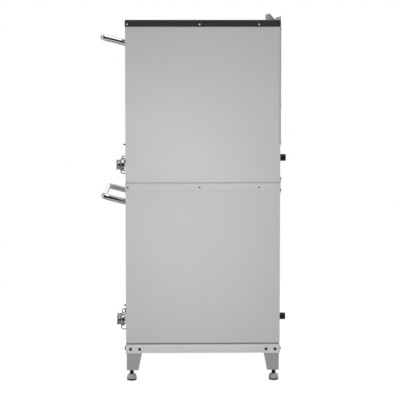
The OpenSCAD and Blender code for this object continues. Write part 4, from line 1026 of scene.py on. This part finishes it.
class DECKOVEN_OT_rear(bpy.types.Operator):
    """Rear cover, stacking brackets, flue hood and gas pipes"""
    bl_idname = "deckoven.rear"
    bl_label = "Rear fittings"

    def execute(self, context):
        f = in_mm(context.scene.oven_fittings)
        # Painted shade: the rear cover wears the darkened steel.
        dress("rear_cover", "leg_steel")
        lo, hi = ends("rear_cover")
        inset, count = f.screw * 1.1, 4
        screws = [pan_screw((side * (hi[0] - inset), hi[1], z), "y", f.screw)
                  for side in SIDES for z in np.linspace(lo[2] + inset, hi[2] - inset, count)]
        piece("rear_cover_screws", CABINET, screws, "zinc")
        dress("stacking_brackets", "zinc")
        # Painted light: the flue hood wears the lightened steel.
        dress("flue_hood", "channel_steel")
        for deck in DECKS:
            dress(deck + "_gas_pipe", "iron")
            lo, hi = ends(deck + "_stones")
            stones = []
            for side in SIDES:
                x = sorted((side * STONE_GAP / 2, side * hi[0]))
                stones.append(slab((x[0], lo[1], lo[2]), (x[1], hi[1], hi[2]), "z", 3.0, 4.0))
            piece(deck + "_stone_pair", CABINET, stones, "stone", [deck + "_stones"])
        return {"FINISHED"}


class DECKOVEN_OT_stage(bpy.types.Operator):
    """Floor, soft lights and the camera"""
    bl_idname = "deckoven.stage"
    bl_label = "Stage"

    def execute(self, context):
        self.floor()
        self.world(context.scene)
        self.lights()
        self.camera(context.scene)
        context.scene.view_settings.view_transform = "Standard"
        return {"FINISHED"}

    def seen(self, tree, camera, gloss):
        """One amount for camera rays and rays through glass, one for rays off gloss, and 0 for the rest."""
        path = add(tree, "LightPath")
        plain = add(tree, "Math", {"operation": "MAXIMUM"}, {0: path.outputs["Is Camera Ray"],
                                                           1: path.outputs["Is Transmission Ray"]})
        shine = add(tree, "Math", {"operation": "MULTIPLY", 1: gloss}, {0: path.outputs["Is Glossy Ray"]})
        return add(tree, "Math", {"operation": "MULTIPLY_ADD", 1: camera},
                   {0: plain.outputs["Value"], 2: shine.outputs["Value"]}).outputs["Value"]

    def floor(self):
        """Pale matt disc that is lifted towards plain white where it is seen."""
        angle = np.linspace(0, 2 * np.pi, 96, endpoint=False)
        radius = 3.2
        rim = radius * np.stack([np.cos(angle), np.sin(angle), 0 * angle], 1)
        mesh = bpy.data.meshes.new("Floor")
        mesh.from_pydata(rim.tolist(), [], [list(range(len(rim)))])
        floor = bpy.data.objects.new("Floor", mesh)
        bpy.context.scene.collection.objects.link(floor)
        grey = (*linear("#9A9A9A"), 1)
        made, tree, shader = finish("Pale matt floor", {"Roughness": 1.0, "Base Color": grey})
        glow = add(tree, "Emission", {"Strength": 1.2})
        mixed = add(tree, "MixShader", links={0: self.seen(tree, 0.82, 0.05), 1: shader.outputs["BSDF"],
                                              2: glow.outputs["Emission"]})
        output = [n for n in tree.nodes if n.type == "OUTPUT_MATERIAL"][0]
        tree.links.new(mixed.outputs["Shader"], output.inputs["Surface"])
        mesh.materials.append(made)

    def world(self, scene):
        """White surroundings, with a dimmer white that lights the object. Gloss sees a white floor and
        ceiling. Between them it sees a dark right half, and a white left side with a dark ring round its
        far end."""
        world = bpy.data.worlds.new("Studio")
        scene.world = world
        world.use_nodes = True
        tree = world.node_tree
        tree.nodes.clear()
        path = add(tree, "LightPath")
        where = add(tree, "TexCoord").outputs["Generated"]
        axes = add(tree, "SeparateXYZ", links={0: where})
        up, right = (add(tree, "MapRange", {"From Min": -1.0, "From Max": 1.0}, {"Value": axes.outputs[axis]})
                     .outputs["Result"] for axis in "ZX")
        white, dark = (1.0, 1.0, 1.0), (0.03, 0.03, 0.03)
        wall = ramp(tree, up, [(0.30, white), (0.36, dark), (0.92, dark), (0.96, white)])
        side = ramp(tree, right, [(0.02, white), (0.04, dark), (0.18, dark), (0.23, white),
                                  (0.36, white), (0.52, dark)])
        flags = add(tree, "MixRGB", {"blend_type": "LIGHTEN", "Fac": 1.0}, {"Color1": wall, "Color2": side})
        strength = span(tree, self.seen(tree, 1.0, 1.0), 0.5, 1.0)
        plain = add(tree, "Background", {"Color": (1, 1, 1, 1)}, {"Strength": strength})
        gloss = add(tree, "Background", {"Strength": 1.0}, {"Color": flags.outputs["Color"]})
        mixed = add(tree, "MixShader", links={0: path.outputs["Is Glossy Ray"],
                                              1: plain.outputs["Background"],
                                              2: gloss.outputs["Background"]})
        add(tree, "OutputWorld", links={"Surface": mixed.outputs["Shader"]})

    def lights(self):
        """A soft box overhead, and one on each side that gloss doesn't show. The right one is the brightest
        of these four."""
        self.soft_box("Top light", (0, 0.05, 4.6), (0, 0.05, 0), 4.0, 45)
        for name, place, power in (("Right light", (2.7, 0, 1.0), 37), ("Left light", (-2.7, 0, 1.0), 28),
                                   ("Front light", (0, -2.9, 1.0), 28), ("Back light", (0, 2.9, 1.0), 28)):
            self.soft_box(name, place, (0, 0, 1.0), 1.5, power).visible_glossy = False

    def soft_box(self, name, place, target, size, power):
        """Square area light that faces a point."""
        data = bpy.data.lights.new(name, "AREA")
        data.size = size
        data.energy = power
        lamp = bpy.data.objects.new(name, data)
        aim = np.array(target, float) - place
        lamp.location = place
        lamp.rotation_euler = Vector(aim).to_track_quat("-Z", "Y").to_euler()
        lamp.visible_camera = False
        bpy.context.scene.collection.objects.link(lamp)
        return lamp

    def camera(self, scene):
        """Long lens from the right, a little in front and near the oven's top."""
        data = bpy.data.cameras.new("Camera")
        data.lens = 152.47
        data.shift_y = -0.05
        camera = bpy.data.objects.new("Camera", data)
        down, turned = 4.487, 1.214
        camera.location = (9.6, -0.1562, 1.7911)
        camera.rotation_euler = (np.radians(90 - down), 0, np.radians(90 - turned))
        data.clip_end = 200
        scene.collection.objects.link(camera)
        scene.camera = camera


class DECKOVEN_PT_panel(bpy.types.Panel):
    """Sizes, colours and the steps that make the oven"""
    bl_label = "Deck oven"
    bl_space_type = "VIEW_3D"
    bl_region_type = "UI"
    bl_category = "Deck oven"

    def draw(self, context):
        for operator in OPERATORS:
            self.layout.operator(operator.bl_idname)
        for name in SETTINGS:
            group = getattr(context.scene, name)
            box = self.layout.box()
            box.label(text=group.__doc__)
            for key in type(group).__annotations__:
                box.prop(group, key)


SETTINGS = {"oven_sheet": SheetSizes, "oven_louvres": LouvreSizes, "oven_fittings": FittingSizes,
            "oven_finishes": Finishes}
OPERATORS = (DECKOVEN_OT_finishes, DECKOVEN_OT_casing, DECKOVEN_OT_front, DECKOVEN_OT_doors,
             DECKOVEN_OT_stand, DECKOVEN_OT_controls, DECKOVEN_OT_fasteners, DECKOVEN_OT_rear,
             DECKOVEN_OT_stage)


def register():
    """Registers the classes and hangs the settings on the scene."""
    for cls in (*SETTINGS.values(), *OPERATORS, DECKOVEN_PT_panel):
        bpy.utils.register_class(cls)
    for name, cls in SETTINGS.items():
        setattr(bpy.types.Scene, name, PointerProperty(type=cls))


def unregister():
    """Takes the settings and the classes away again."""
    for name in SETTINGS:
        delattr(bpy.types.Scene, name)
    for cls in reversed((*SETTINGS.values(), *OPERATORS, DECKOVEN_PT_panel)):
        bpy.utils.unregister_class(cls)


def main():
    """Makes the whole oven and its stage."""
    register()
    for operator in OPERATORS:
        group, name = operator.bl_idname.split(".")
        getattr(getattr(bpy.ops, group), name)()


if __name__ == "__main__":
    main()
